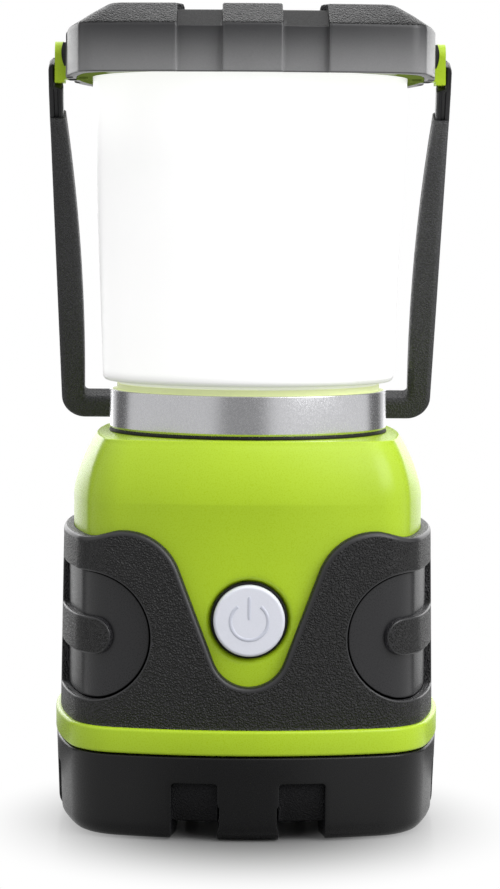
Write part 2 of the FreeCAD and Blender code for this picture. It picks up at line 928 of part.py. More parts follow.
def shade_lugs_on_neck():
    level = shade_lug_level() - shade_lead() * lug_arc / 720
    lugs = []
    for lug in range(shade_lugs):
        bearing = 360 / shade_lugs * lug - lug_arc / 2
        outer = neck_radius + lug_reach
        inner = neck_radius - neck_wall / 2
        lugs.append(ramp(inner, outer, shade_lug_height, shade_lead(), bearing, level, lug_arc))
    return lugs


def cap_form(inset, low):
    """Outer form of the cap, drawn in by an inset."""
    side = prism(cap_half - inset, low, cap_shoulder - inset / 2)
    foot = outline(cap_half - inset, cap_shoulder - inset / 2)
    head = outline(cap_top_half - inset, cap_top, corner=cap_top_corner)
    return side.fuse(Part.makeLoft([foot, head], True, True)).removeSplitter()


def cap_screw_points():
    return [around(cap_screw_at, 45 + 90 * quarter, cone_level) for quarter in range(4)]


def cap_screw_length():
    return cone_thickness + frame_thickness + screw_bite


def cap_cover():
    cap = cap_form(0, cap_bottom)
    reach = 2 * cap_half
    slab = block(cap_notch_width, cap_half, reach, V(cap_notch_middle, -cap_half, cap_bottom))
    notch = slab.cut(cap_form(cap_notch_depth, cap_bottom - reach))
    for cutter in both_sides(notch):
        cap = cap.cut(four_faces(cutter))
    cap = cap.cut(cap_form(cap_wall, cap_bottom).cut(drum(reach, cap_top - cap_wall, cap_top)))
    bosses = [drum(boss_radius, frame_top, cap_top - cap_wall, point) for point in cap_screw_points()]
    cap = cap.fuse(bosses)
    holes = [drum(screw_radius, frame_top, frame_top + screw_bite, point) for point in cap_screw_points()]
    width = ear_width + 2 * frame_gap
    gate = block(2 * reach, width, 2 * (frame_top - cap_bottom), V(0, 0, cap_bottom))
    return cap.cut(holes + [gate.cut(prism(cap_half - cap_wall - frame_gap, 0, frame_top))])


def cap_frame():
    plate = prism(cap_half - cap_wall - frame_gap, frame_bottom, frame_top)
    slope = (shade_head_radius - shade_foot_radius) / shade_height
    groove_outer = shade_head_radius + slope * (frame_recess + shade_socket) + seat_gap
    groove_inner = shade_head_radius - shade_wall - seat_gap
    plate = plate.cut(pipe(groove_outer, groove_inner, frame_bottom, frame_bottom + shade_socket + seat_gap))
    holes = []
    for point in cap_screw_points():
        holes.append(drum(screw_radius + seat_gap, frame_bottom, frame_top, point))
    ear = bail_ear()
    return plate.cut(holes).fuse(both_sides(ear)).removeSplitter()


def bail_ear():
    """Right ear: an upright plate with a round head, a waist and a bridge to the frame."""
    radius = ear_width / 2
    shank_top = ear_top - radius
    shank_middle = V((ear_inner + ear_outer) / 2, 0, (ear_bottom + shank_top) / 2)
    plate = block(ear_thickness, ear_width, shank_top - ear_bottom, shank_middle)
    head = Part.makeCylinder(radius, ear_thickness, V(ear_inner, 0, shank_top), RIGHT)
    ear = plate.fuse(head)
    waist_centre = V(ear_inner + ear_waist - ear_waist_radius, -radius, (pivot_height + ear_top) / 2)
    ear = ear.cut(Part.makeCylinder(ear_waist_radius, ear_width, waist_centre, BACK))
    eye = Part.makeCylinder(pin_radius + pin_gap, ear_thickness, V(ear_inner, 0, pivot_height), RIGHT)
    ear = ear.cut(eye)
    inner = cap_half - 2 * cap_wall
    bridge_middle = V((inner + ear_inner) / 2, 0, frame_bottom + ear_bridge_height / 2 - frame_recess)
    bridge = block(ear_inner - inner, ear_width, ear_bridge_height, bridge_middle)
    groove_guard = drum(shade_head_radius + 2 * frame_recess, 0, frame_bottom + shade_socket)
    return ear.fuse(bridge.cut(groove_guard))


def reflector_cone():
    profile = [
        (0, cone_level - cone_drop),
        (cone_tip, cone_level - cone_drop),
        (cone_mouth, cone_level),
        (cone_radius, cone_level),
        (cone_radius, frame_bottom),
        (cone_mouth, frame_bottom),
        (cone_tip, cone_level - cone_drop + cone_thickness),
        (0, cone_level - cone_drop + cone_thickness),
    ]
    cone = spun(profile)
    holes = []
    for point in cap_screw_points():
        holes.append(drum(screw_radius + seat_gap, cone_level, frame_bottom, point))
    return cone.cut(holes)


def cap_screws():
    return [screw(cap_screw_length()).translated(point) for point in cap_screw_points()]


def lean_back(shape):
    """Swing a bail piece drawn hanging straight down under the pivot to its folded place."""
    return shape.rotated(ORIGIN, RIGHT, bail_lean).translated(V(0, 0, pivot_height))


def outer_line(drop):
    """Outer edge of the sleeve at a distance below the pivot."""
    return sleeve_outer_top - sleeve_taper * drop / (bail_length + cross_height / 2)


def plate_from(edges, depth):
    """Flat bail piece of a depth, centred on the plane of the bail."""
    face = Part.Face(Part.Wire(Part.__sortEdges__(edges)))
    return face.extrude(BACK * depth).translated(BACK * (-depth / 2))


def line(first, last):
    return Part.LineSegment(V(first[0], 0, first[1]), V(last[0], 0, last[1])).toShape()


def polygon_plate(points, depth):
    corners = [V(x, 0, z) for x, z in points]
    face = Part.Face(Part.makePolygon(corners + corners[:1]))
    return face.extrude(BACK * depth).translated(BACK * (-depth / 2))


def bail_frame():
    """Flat bar from ear to ear, with straps outside the ears and pins through them."""
    bar_inner = strap_outer - bar_thickness
    exposed_end = strap_outer - (sleeve_outer_top - outer_line(sleeve_start))
    core_outer = outer_line(sleeve_start) - core_cover
    core_inner = sleeve_outer_top - sleeve_head_width + core_cover
    foot_outer = outer_line(bail_length) - core_cover
    foot_inner = sleeve_outer_top - sleeve_foot_in + core_cover
    cross_bottom = -(bail_length + cross_height / 2 - core_cover)
    cross_top = -(bail_length - cross_height / 2 + core_cover)
    outer_edge = [
        (strap_inner, strap_tip),
        (strap_outer, strap_tip),
        (strap_outer, -bar_start),
        (exposed_end, -sleeve_start),
        (core_outer, -sleeve_start),
        (foot_outer, cross_bottom),
    ]
    inner_edge = [
        (foot_inner, cross_top),
        (core_inner, -sleeve_start),
        (bar_inner, -sleeve_start),
        (bar_inner, -bar_start),
        (strap_inner, -bar_start),
    ]
    mirror_outer = [(-x, z) for x, z in reversed(outer_edge)]
    mirror_inner = [(-x, z) for x, z in reversed(inner_edge)]
    frame = polygon_plate(outer_edge + mirror_outer + mirror_inner + inner_edge, bar_depth)
    trim = block(2 * strap_bend, 2 * bar_depth, 2 * strap_bend, V(strap_outer, 0, strap_tip))
    bend_centre = V(strap_outer - strap_bend, -bar_depth, strap_tip - strap_bend)
    trim = trim.cut(Part.makeCylinder(strap_bend, 2 * bar_depth, bend_centre, BACK))
    trim = trim.cut(block(4 * strap_bend, 4 * bar_depth, 2 * strap_bend, bend_centre - V(0, 0, strap_bend)))
    trim = trim.cut(block(2 * strap_bend, 4 * bar_depth, 4 * strap_bend, bend_centre - V(strap_bend, 0, 0)))
    pin = Part.makeCylinder(pin_radius, strap_inner - ear_inner, V(ear_inner + turn_gap, 0, 0), RIGHT)
    frame = frame.cut(both_sides(trim)).fuse(both_sides(pin)).removeSplitter()
    return lean_back(frame)


def bail_sleeve():
    """Rubber over the bar, a wide U with round outer corners."""
    foot = -(bail_length + cross_height / 2)
    throat = -(bail_length - cross_height / 2)
    corner_x = outer_line(bail_length) - sleeve_corner
    diagonal = sleeve_corner / math.sqrt(2)
    outer_top = (outer_line(sleeve_start), -sleeve_start)
    outer_low = (corner_x + sleeve_corner, foot + sleeve_corner)
    corner_mid = V(corner_x + diagonal, 0, foot + sleeve_corner - diagonal)
    inner_foot = sleeve_outer_top - sleeve_foot_in
    inner_top = (sleeve_outer_top - sleeve_head_width, -sleeve_start)
    inner_bend = V(sleeve_outer_top - sleeve_bend_in, 0, -sleeve_bend_at)
    inner_low = (inner_foot, throat + sleeve_throat)
    throat_in = (inner_foot - sleeve_throat, throat)
    throat_diagonal = sleeve_throat / math.sqrt(2)
    throat_mid = V(throat_in[0] + throat_diagonal, 0, inner_low[1] - throat_diagonal)
    half = [
        line(inner_top, outer_top),
        line(outer_top, outer_low),
        Part.Arc(V(outer_low[0], 0, outer_low[1]), corner_mid, V(corner_x, 0, foot)).toShape(),
        Part.Arc(V(inner_top[0], 0, inner_top[1]), inner_bend, V(inner_low[0], 0, inner_low[1])).toShape(),
        Part.Arc(V(inner_low[0], 0, inner_low[1]), throat_mid, V(throat_in[0], 0, throat)).toShape(),
    ]
    flip = FreeCAD.Matrix()
    flip.A11 = -1
    mirrored = [edge.transformGeometry(flip) for edge in half]
    bottom = line((corner_x, foot), (-corner_x, foot))
    top = line(throat_in, (-throat_in[0], throat))
    sleeve = plate_from(half + mirrored + [bottom, top], sleeve_depth)
    long_edges = []
    for edge in sleeve.Edges:
        flat = edge.BoundBox.YLength < seat_gap
        at_end = abs(edge.BoundBox.ZMin + sleeve_start) < seat_gap
        if flat and not at_end:
            long_edges.append(edge)
    sleeve = sleeve.makeFillet(sleeve_edge, long_edges)
    return lean_back(sleeve).cut(bail_frame())


def base_form(inset):
    """Outer form of the base, a little narrower at the floor, drawn in by an inset."""
    foot = outline(base_half - base_draft - inset, 0)
    return Part.makeLoft([foot, outline(base_half - inset, base_height)], True, True)


def base_cover():
    base = base_form(0)
    rim = [edge for edge in base.Edges if edge.BoundBox.ZMax < seat_gap]
    base = base.makeFillet(base_edge, rim)
    reach = base_half
    panel_middle = V(base_notch_middle, -base_half, 0)
    panel = block(base_notch_width, reach, 2 * base_notch_top, panel_middle)
    panel = panel.cut(base_form(base_notch_depth))
    gap = block(base_notch_width, reach, 2 * base_gap_height, panel_middle)
    for cutter in both_sides(panel.fuse(gap)):
        base = base.cut(four_faces(cutter))
    spigot_inner = spigot_radius - spigot_wall
    base = base.cut([prism(dish_half, 0, dish_depth), drum(spigot_inner, base_floor_top, base_height)])
    base = base.fuse(pipe(spigot_radius, spigot_inner, base_height, spigot_top))
    base = base.fuse(base_lugs_on_spigot()).removeSplitter()
    outer = seal_radius + seal_width / 2 + seat_gap
    inner = seal_radius - seal_width / 2 - seat_gap
    base = base.cut(pipe(outer, inner, base_height - seal_depth, base_height))
    return base.fuse(both_sides(hook_ear())).removeSplitter()


def hook_ear():
    """Right bearing block of the hook, under the floor of the base."""
    middle_x = (hook_ear_start + hook_ear_end) / 2
    low = hook_level - hook_wire - turn_gap
    ear_middle = V(middle_x, hook_axis_at, (low + dish_depth) / 2)
    ear = block(hook_ear_end - hook_ear_start, hook_ear_width, dish_depth - low, ear_middle)
    bore_start = V(hook_ear_start, hook_axis_at, hook_level)
    bore_length = hook_pin_end + turn_gap - hook_ear_start
    return ear.cut(Part.makeCylinder(hook_wire + pin_gap, bore_length, bore_start, RIGHT))


def base_lugs_on_spigot():
    level = base_lug_level() - base_lead() * lug_arc / 720
    lugs = []
    for lug in range(base_lugs):
        bearing = base_lug_bearing + 360 / base_lugs * lug - lug_arc / 2
        outer = spigot_radius + lug_reach
        inner = spigot_radius - spigot_wall / 2
        lugs.append(ramp(inner, outer, base_lug_height, base_lead(), bearing, level, lug_arc))
    return lugs


def base_seal():
    """Flat gasket in the top face of the base."""
    outer = seal_radius + seal_width / 2
    inner = seal_radius - seal_width / 2
    return pipe(outer, inner, base_height - seal_depth, band_bottom - seat_gap)


def contact_board():
    return drum(contact_board_radius, base_floor_top, base_floor_top + contact_board_thickness)


def contact_springs():
    low = base_floor_top + contact_board_thickness
    spring = coil(spring_foot_radius, spring_head_radius, low, cell_bottom, spring_turns, spring_wire)
    return [spring.translated(place) for place in cell_places()]


def hanging_hook():
    """Round wire bent to a U, its two ends turned outwards as pins."""
    eye = hook_axis_at - hook_reach
    bend_end = hook_half + hook_bend
    diagonal = hook_bend / math.sqrt(2)
    pin_tip = V(hook_pin_end, hook_axis_at, hook_level)
    bend_start = V(bend_end, hook_axis_at, hook_level)
    bend_mid = V(bend_end - diagonal, hook_axis_at - hook_bend + diagonal, hook_level)
    leg_top = V(hook_half, hook_axis_at - hook_bend, hook_level)
    leg_foot = V(hook_half, eye, hook_level)
    flip = FreeCAD.Matrix()
    flip.A11 = -1
    half = [
        Part.LineSegment(pin_tip, bend_start).toShape(),
        Part.Arc(bend_start, bend_mid, leg_top).toShape(),
        Part.LineSegment(leg_top, leg_foot).toShape(),
    ]
    mirrored = [edge.transformGeometry(flip) for edge in half]
    bottom = V(0, eye - hook_half, hook_level)
    turn = Part.Arc(leg_foot, bottom, V(-hook_half, eye, hook_level)).toShape()
    path = Part.Wire(Part.__sortEdges__(half + [turn] + mirrored))
    section = Part.Wire(Part.Circle(pin_tip, RIGHT, hook_wire).toShape())
    return path.makePipeShell([section], True, False)


right_panel, left_panel = both_sides(side_panel())
right_bar, left_bar = both_sides(side_bar())

parts = {
    "body_shell": [body_shell()],
    "grip_wrap": [grip_wrap()],
    "right_side_panel": right_panel.Solids,
    "left_side_panel": left_panel.Solids,
    "right_side_bar": right_bar.Solids,
    "left_side_bar": left_bar.Solids,
    "power_button": [power_button()],
    "button_seal": [button_seal()],
    "switch_plunger": [switch_plunger()],
    "switch_case": [switch_case()],
    "control_board": [control_board()],
    "board_screws": board_screws(),
    "neck_collar": [neck_collar()],
    "trim_ring": [trim_ring()],
    "shade_seal": [shade_seal()],
    "collar_screws": collar_screws(),
    "heat_sink": [heat_sink()],
    "led_board": [led_board()],
    "led_chips": led_chips(),
    "led_board_screws": led_board_screws(),
    "led_cover": [led_cover()],
    "led_wires": wires(led_wire_routes()),
    "battery_wires": wires(battery_wire_routes()),
    "battery_cradle": [battery_cradle()],
    "cradle_screws": cradle_screws(),
    "battery_cells": battery_cells(),
    "top_contacts": top_contacts(),
    "diffuser": [diffuser()],
    "cap_cover": [cap_cover()],
    "cap_frame": [cap_frame()],
    "cap_screws": cap_screws(),
    "reflector_cone": [reflector_cone()],
    "bail_frame": [bail_frame()],
    "bail_sleeve": [bail_sleeve()],
    "base_cover": [base_cover()],
    "base_seal": [base_seal()],
    "contact_board": [contact_board()],
    "contact_springs": contact_springs(),
    "hanging_hook": [hanging_hook()],
}

os.makedirs("parts", exist_ok=True)
for name, solids in parts.items():
    shape = solids[0] if len(solids) == 1 else Part.makeCompound(solids)
    print(name, len(shape.Solids), round(shape.Volume, 1), shape.isValid())
    shape.exportStep("parts/" + name + ".step")
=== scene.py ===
import math
from functools import partialmethod

import bmesh
import bpy
import numpy as np
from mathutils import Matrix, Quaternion, Vector


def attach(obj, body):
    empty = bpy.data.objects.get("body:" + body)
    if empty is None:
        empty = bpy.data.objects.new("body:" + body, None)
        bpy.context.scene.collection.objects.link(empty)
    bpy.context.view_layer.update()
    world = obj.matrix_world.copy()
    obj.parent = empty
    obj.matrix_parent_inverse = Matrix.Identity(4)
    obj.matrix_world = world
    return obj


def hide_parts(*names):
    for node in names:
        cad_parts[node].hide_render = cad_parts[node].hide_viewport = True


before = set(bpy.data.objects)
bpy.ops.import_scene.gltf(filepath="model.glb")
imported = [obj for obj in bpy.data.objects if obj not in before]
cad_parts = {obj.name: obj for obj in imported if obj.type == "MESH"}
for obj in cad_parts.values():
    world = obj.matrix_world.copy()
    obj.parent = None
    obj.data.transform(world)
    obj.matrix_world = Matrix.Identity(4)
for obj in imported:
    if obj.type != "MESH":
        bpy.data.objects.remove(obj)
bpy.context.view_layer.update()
scene = bpy.context.scene
MM = 0.001

# Sizes in millimetres, as in the part's source --------------------------------

band_half, face_radius, corner_radius = 44.996, 110.0, 15.0
wall_half, inner_half = 40.896, 38.896
base_half, base_foot_half, base_height, base_round = 44.796, 44.096, 19.1, 3.5
band_bottom, band_top, band_inner = 19.4, 25.1, 39.8
crease, shell_top, shell_wall, crease_edge = 75.4, 89.2, 2.0, 0.4
shoulder_slope, shoulder_drop = 0.17, 5.5
shoulder_face, shoulder_corner = 150.0, 9.0
collar_radius, ring_radius = 31.946, 32.596
ring_bottom, ring_top, gasket_inner = 89.7, 99.1, 30.5
cap_half, cap_top_half, cap_wall = 42.996, 32.996, 2.6
cap_bottom, cap_shoulder, cap_top = 171.3, 182.0, 187.0
cap_notch = (11.75, 10.1, 1.5)
base_notch = (12.1, 10.3, 1.5)
base_notch_top, base_gap_top, base_cut_top = 13.0, 4.3, 15.0
dish_half, dish_top, dish_floor = 35.996, 5.0, 2.0
spigot_radius, spigot_wall, spigot_top = 39.496, 1.6, 28.0
hook_axis_at, hook_level, hook_bore, hook_block_half = 9.0, 2.6, 1.3, 2.5
hook_block_start, hook_block_end = 11.4, 14.4
lug_reach, lug_half_arc, lug_half_height, lug_level, lug_lead = 1.25, 6.9, 1.05, 26.2, 54.0
grip_foot_half, grip_head_half = 43.896, 43.196
wave_valley, wave_crest, wave_crest_at, wave_side = 34.6, 69.3, 28.596, 67.6
valley_radius, crest_radius, wave_fall, wave_end = 8.6, 13.5, 9.4, 48.0
window_at, window_radius, window_middle = 36.596, 14.5, 45.3
window_floor_half, rib_half, window_plane = 42.046, 8.0, 43.5
bar_half_height, bar_reach = 4.2, 30.996
button_at, button_hole, button_front, button_well = 49.5, 8.6, -42.696, 1.7
mark_radius, mark_bar_foot, mark_bar_head = 4.2, 0.4, 5.5
pivot_height, bail_lean = 174.8, 23.917
ear_inner, ear_bottom, ear_top, ear_shade_pad_half = 43.296, 170.5, 180.1, 2.7
ear_waist, ear_waist_radius, ear_waist_level = 0.8, 7.5, 177.45
# Stations down each bar of the bail: below the pivot, inner and outer edge, depth of the groove
bail_bar_stations = [
    (-0.8, 45.75, 46.05, 0.0), (-0.7, 45.75, 46.4, 0.0), (-0.4, 45.75, 46.85, 0.0), (0.1, 45.75, 47.1, 0.0),
    (0.8, 45.75, 47.196, 0.0), (4.6, 45.75, 47.196, 0.0), (4.85, 45.2, 47.196, 0.0), (5.05, 44.5, 47.196, 0.1),
    (5.4, 44.0, 47.196, 0.3), (6.0, 43.9, 47.196, 0.4), (13.0, 43.9, 47.1, 0.4), (20.0, 43.9, 46.9, 0.4)]
bail_bar_half = 2.2

# Outline of the body ----------------------------------------------------------


def arc_facts(half, face, corner):
    """Face centre, corner centre and half the face's angle for one squarish outline."""
    reach = face - half
    middle = (math.sqrt(2 * (face - corner) ** 2 - reach ** 2) - reach) / 2
    return reach, middle, math.asin(middle / (face - corner))


band_facts = arc_facts(band_half, face_radius, corner_radius)
face_run = 2 * face_radius * band_facts[2]
corner_run = corner_radius * (math.pi / 2 - 2 * band_facts[2])
quarter_run = face_run + corner_run
girth = 4 * quarter_run


def quartered(x, y, quarter):
    """Turns points on the front into the quarter they belong to."""
    cosine, sine = np.cos(quarter * math.pi / 2), np.sin(quarter * math.pi / 2)
    return x * cosine - y * sine, x * sine + y * cosine


def outline(u, half, face=None, corner=None):
    """x and y of the outline of a half width, u mm round the band from the middle of the front."""
    along = np.mod(np.asarray(u, float) + face_run / 2, girth)
    quarter = np.floor(along / quarter_run)
    along = along - quarter * quarter_run
    if face is None:
        reach, middle, sweep = band_facts
        face, corner = face_radius + half - band_half, corner_radius + half - band_half
    else:
        reach, middle, sweep = arc_facts(half, face, corner)
    flat = along < face_run
    bend = sweep + (along - face_run) / corner_run * (math.pi / 2 - 2 * sweep)
    angle = np.where(flat, (2 * along / face_run - 1) * sweep, bend)
    radius = np.where(flat, face, corner)
    x = np.where(flat, 0, middle) + radius * np.sin(angle)
    y = np.where(flat, reach, -middle) - radius * np.cos(angle)
    return quartered(x, y, quarter)


def beside_face(u, half):
    """Distance along its own face from the face's middle, for every u."""
    along = np.mod(np.asarray(u, float) + quarter_run / 2, quarter_run) - quarter_run / 2
    return (face_radius + half - band_half) * np.sin(along / face_radius)


def even_columns(count):
    return np.arange(count) / count * girth


# Making meshes ----------------------------------------------------------------


def ring_quads(index):
    right = np.roll(index, -1, 1)
    return np.stack([index[:-1], right[:-1], right[1:], index[1:]], -1).reshape(-1, 4)


class Mould:
    """Points and faces of a piece while it is made, in millimetres."""

    def __init__(self):
        self.points, self.faces, self.rim, self.count = [], [], [], 0

    def put(self, points):
        points = np.asarray(points, float)
        size = points.size // 3
        index = np.arange(self.count, self.count + size).reshape(points.shape[:-1])
        self.points.append(points.reshape(-1, 3))
        self.count += size
        return index

    def wall(self, rings, closed=False):
        """Rings of points with four-sided faces between neighbours; closed joins the last to the first."""
        index = self.put(rings)
        loop = np.concatenate([index, index[:1]]) if closed else index
        self.faces += [tuple(quad) for quad in ring_quads(loop).tolist()]
        return index

    def lid(self, ring):
        self.faces.append(tuple(ring.tolist()))

    def bar(self, rings):
        """A wall with a lid on both ends."""
        index = self.wall(rings)
        self.lid(index[0])
        self.lid(index[-1])


def stacked(x, y, z):
    return np.stack(np.broadcast_arrays(x, y, z), -1)


def shown(name, mould, body, finish, stands_for=(), sharp=40, rim_finish=None):
    """Turns a mould into a piece that rides on a body and stands for CAD nodes."""
    mesh = bpy.data.meshes.new(name)
    mesh.from_pydata((np.concatenate(mould.points) * MM).tolist(), [], mould.faces)
    mesh.materials.append(finish)
    if rim_finish:
        mesh.materials.append(rim_finish)
        for face in mould.rim:
            mesh.polygons[face].material_index = 1
    work = bmesh.new()
    work.from_mesh(mesh)
    bmesh.ops.remove_doubles(work, verts=work.verts, dist=2e-6)
    bmesh.ops.dissolve_degenerate(work, edges=work.edges, dist=1e-6)
    bmesh.ops.recalc_face_normals(work, faces=work.faces)
    work.to_mesh(mesh)
    work.free()
    mesh.polygons.foreach_set("use_smooth", [True] * len(mesh.polygons))
    mesh.set_sharp_from_angle(angle=math.radians(sharp))
    made = bpy.data.objects.new(name, mesh)
    scene.collection.objects.link(made)
    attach(made, body)
    if stands_for:
        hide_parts(*stands_for)


def rounded(points, radii, steps=4):
    """A bent line with its corners rounded; points are pairs, radii one for each."""
    points = [np.array(p, float) for p in points]
    made = [points[0]]
    for before, at, after, radius in zip(points, points[1:], points[2:], radii[1:-1]):
        if not radius:
            made.append(at)
            continue
        back, on = [(point - at) / np.linalg.norm(point - at) for point in (before, after)]
        turn = math.acos(max(-1, min(1, float(back @ on))))
        reach, swing = radius / math.tan(turn / 2), math.pi - turn
        centre = at + (back + on) / np.linalg.norm(back + on) * radius / math.sin(turn / 2)
        start, end = at + back * reach - centre, at + on * reach - centre
        for share in np.arange(steps + 1) / steps:
            part = math.sin((1 - share) * swing) * start + math.sin(share * swing) * end
            made.append(centre + part / math.sin(swing))
    return np.array(made + points[-1:])


def turned(mould, profile, steps=144, level=None):
    """Turns a closed profile of radius and height about the upright axis, or about a line out of the front."""
    angle = np.arange(steps) / steps * 2 * math.pi
    radius, height = profile[:, 0, None], profile[:, 1, None]
    across, up = radius * np.cos(angle), radius * np.sin(angle)
    mould.wall(stacked(across, up, height) if level is None else stacked(across, height, level + up), closed=True)


def around(columns, profile):
    """A ring for each row of a profile: half width, radii where they aren't the band's own, and height."""
    return np.array([stacked(*outline(columns, *sizes), height) for *sizes, height in profile])


def trimmed(mould, columns, rows, front, back, keep, lip, borders=True):
    """Skin round the body, kept where keep is above 0, with a rounded lip along the cut and a back.

    front takes u, t and a depth, back takes u and t; keep gives a distance and the lip's size there.
    lip is a list of pairs, how far out from the cut and how deep, as shares of the lip's size.
    """
    across, up = (grid.ravel() for grid in np.meshgrid(columns, rows))
    steps = (girth / len(columns), rows[1] - rows[0])
    border = np.isin(up, rows[[0, -1]])

    def slope(u, t, held):
        step = 0.02
        du = (keep(u + step, t)[0] - keep(u - step, t)[0]) / (2 * step)
        dt = (keep(u, t + step)[0] - keep(u, t - step)[0]) / (2 * step)
        dt = np.where(held, 0, dt)
        return du, dt, np.maximum(du ** 2 + dt ** 2, 1e-6)

    value = keep(across, up)[0]
    near = np.abs(value) < 1.2 * max(steps)
    du, dt, size = slope(across[near], up[near], border[near])
    span = 0.5 * (np.abs(du) * steps[0] + np.abs(dt) * steps[1]) / np.maximum(np.sqrt(size), 1e-3)
    close = np.abs(value[near]) / np.sqrt(size) < span * 0.98
    on_cut = np.zeros(across.shape, bool)
    on_cut[near] = close & (size > 0.05)
    u, t, held = across[on_cut], up[on_cut], border[on_cut]
    for _ in range(5):
        du, dt, size = slope(u, t, held)
        miss = keep(u, t)[0]
        u, t = u - np.clip(miss * du / size, -0.4, 0.4), t - np.clip(miss * dt / size, -0.4, 0.4)
    across[on_cut], up[on_cut] = u, t
    inside = (value > 0) | on_cut
    first = mould.put(front(across, up, 0))[0]
    polygons = []
    for quad in ring_quads(np.arange(len(up)).reshape(len(rows), -1)).tolist():
        corners = [c for c in quad if inside[c]]
        if len(corners) < 3:
            continue
        if on_cut[corners].sum() > 2:
            place = across[corners]
            place = place - girth * np.round((place - place[0]) / girth)
            if keep(np.mean(place, keepdims=True), np.mean(up[corners], keepdims=True))[0][0] <= 0:
                continue
        polygons.append(corners)
    used = sorted({c for p in polygons for c in p})
    edges = {(p[i], p[(i + 1) % len(p)]) for p in polygons for i in range(len(p))}
    cut_edges = [e for e in edges if (e[1], e[0]) not in edges]
    rim_edges = [(a, b) for a, b in cut_edges if border[a] and border[b] and abs(up[a] - up[b]) < 1e-6]
    cut_edges = [e for e in cut_edges if e not in set(rim_edges)]
    along_cut = np.array(sorted({c for e in cut_edges for c in e}), int)
    ring_of = {}
    if len(along_cut):
        u, t, held = across[along_cut], up[along_cut], border[along_cut]
        du, dt, size = slope(u, t, held)
        lip_size = np.broadcast_to(keep(u, t)[1], u.shape)
        out_u, out_t = -du / np.sqrt(size), -dt / np.sqrt(size)
        rings = [first + along_cut]
        for out, deep in lip:
            reach = out * lip_size
            rings.append(mould.put(front(u + reach * out_u, t + reach * out_t, deep * lip_size)))
        rings.append(mould.put(back(u + reach * out_u, t + reach * out_t)))
        ring_of = {c: [int(ring[i]) for ring in rings] for i, c in enumerate(along_cut.tolist())}
        for a, b in cut_edges:
            for level in range(len(rings) - 1):
                if level < 3:
                    mould.rim.append(len(mould.faces))
                mould.faces.append((*ring_of[a][level:level + 2], *ring_of[b][level:level + 2][::-1]))
    inner = [c for c in used if c not in ring_of]
    back_index = mould.put(back(across[inner], up[inner]))
    back_of = {c: int(i) for c, i in zip(inner, back_index)}
    back_of.update({c: rings[-1] for c, rings in ring_of.items()})
    for p in polygons:
        mould.faces.append(tuple(int(first + c) for c in p))
        mould.faces.append(tuple(back_of[c] for c in reversed(p)))
    if borders:
        for a, b in rim_edges:
            mould.faces.append((int(first + a), back_of[a], back_of[b], int(first + b)))


def skin_at(half):
    """A skin at a half width, or at one that goes with the height, for trimmed."""
    def place(u, t, deep=0):
        return stacked(*outline(u, (half(t) if callable(half) else half) - deep), t)
    return place


def round_max(a, b, radius):
    """The larger of two distances, with the corner between them rounded."""
    p, q = np.maximum(a + radius, 0), np.maximum(b + radius, 0)
    return np.hypot(p, q) - radius + np.minimum(np.maximum(a, b) + radius, 0)


def soft_max(a, b, width):
    """The larger of two distances, with the inner corner between them filled."""
    share = np.maximum(width - np.abs(a - b), 0) / width
    return np.maximum(a, b) + share ** 2 * width / 4


# Shared effects for the finishes ----------------------------------------------


def cleared(owner):
    """The empty tree of nodes of a material or world."""
    owner.use_nodes = True
    owner.node_tree.nodes.clear()
    return owner.node_tree


def linear(red, green, blue):
    """A colour read off as eight-bit screen values, as the shader takes it."""
    def one(value):
        value /= 255
        return value / 12.92 if value <= 0.04045 else ((value + 0.055) / 1.055) ** 2.4
    return one(red), one(green), one(blue), 1.0


class Nodes:
    """Makes and links the nodes of one tree; a socket given as a value is linked."""

    def __init__(self, tree):
        self.tree = tree

    def fill(self, made, inputs):
        """Sets sockets by name, or by number as at0, at1 and so on; three numbers are a screen colour."""
        for name, value in inputs.items():
            socket = made.inputs[int(name[2:]) if name.startswith("at") else name.replace("_", " ")]
            if isinstance(value, bpy.types.NodeSocket):
                self.tree.links.new(value, socket)
            else:
                screen = socket.type == "RGBA" and len(value) == 3
                socket.default_value = linear(*value) if screen else value
        return made.outputs

    def add(self, kind, settings=None, **inputs):
        made = self.tree.nodes.new("ShaderNode" + kind)
        for name, value in (settings or {}).items():
            setattr(made, name, value)
        return self.fill(made, inputs)

    def use(self, group, **inputs):
        return self.add("Group", {"node_tree": group}, **inputs)

    def math(self, operation, a, b=0.0):
        return self.add("Math", {"operation": operation}, at0=a, at1=b)[0]

    times = partialmethod(math, "MULTIPLY")
    plus = partialmethod(math, "ADD")
    minus = partialmethod(math, "SUBTRACT")
    most = partialmethod(math, "MAXIMUM")
    size = partialmethod(math, "ABSOLUTE")

    def scaled(self, colour, by):
        return self.add("VectorMath", {"operation": "SCALE"}, at0=colour, Scale=by)[0]

    def moved(self, place, by, shift):
        return self.add("VectorMath", {"operation": "MULTIPLY_ADD"}, at0=place, at1=by, at2=shift)[0]

    def length(self, vector):
        return self.add("VectorMath", {"operation": "LENGTH"}, at0=vector)["Value"]

    def split(self, vector):
        return self.add("SeparateXYZ", at0=vector)

    def mix(self, share, first, second):
        """A colour between two colours."""
        return self.add("Mix", {"data_type": "RGBA"}, at0=share, at6=first, at7=second)[2]

    def either(self, share, first, second):
        """A number between two numbers."""
        return self.add("Mix", {"data_type": "FLOAT"}, at0=share, at2=first, at3=second)[0]

    def spread(self, value, low, high, to_low=0.0, to_high=1.0):
        """A smooth step from one level to another."""
        return self.add("MapRange", {"interpolation_type": "SMOOTHSTEP"}, Value=value, From_Min=low,
                        From_Max=high, To_Min=to_low, To_Max=to_high)["Result"]

    def noise(self, place, scale, detail, roughness=0.5):
        return self.add("TexNoise", Vector=place, Scale=scale, Detail=detail, Roughness=roughness)


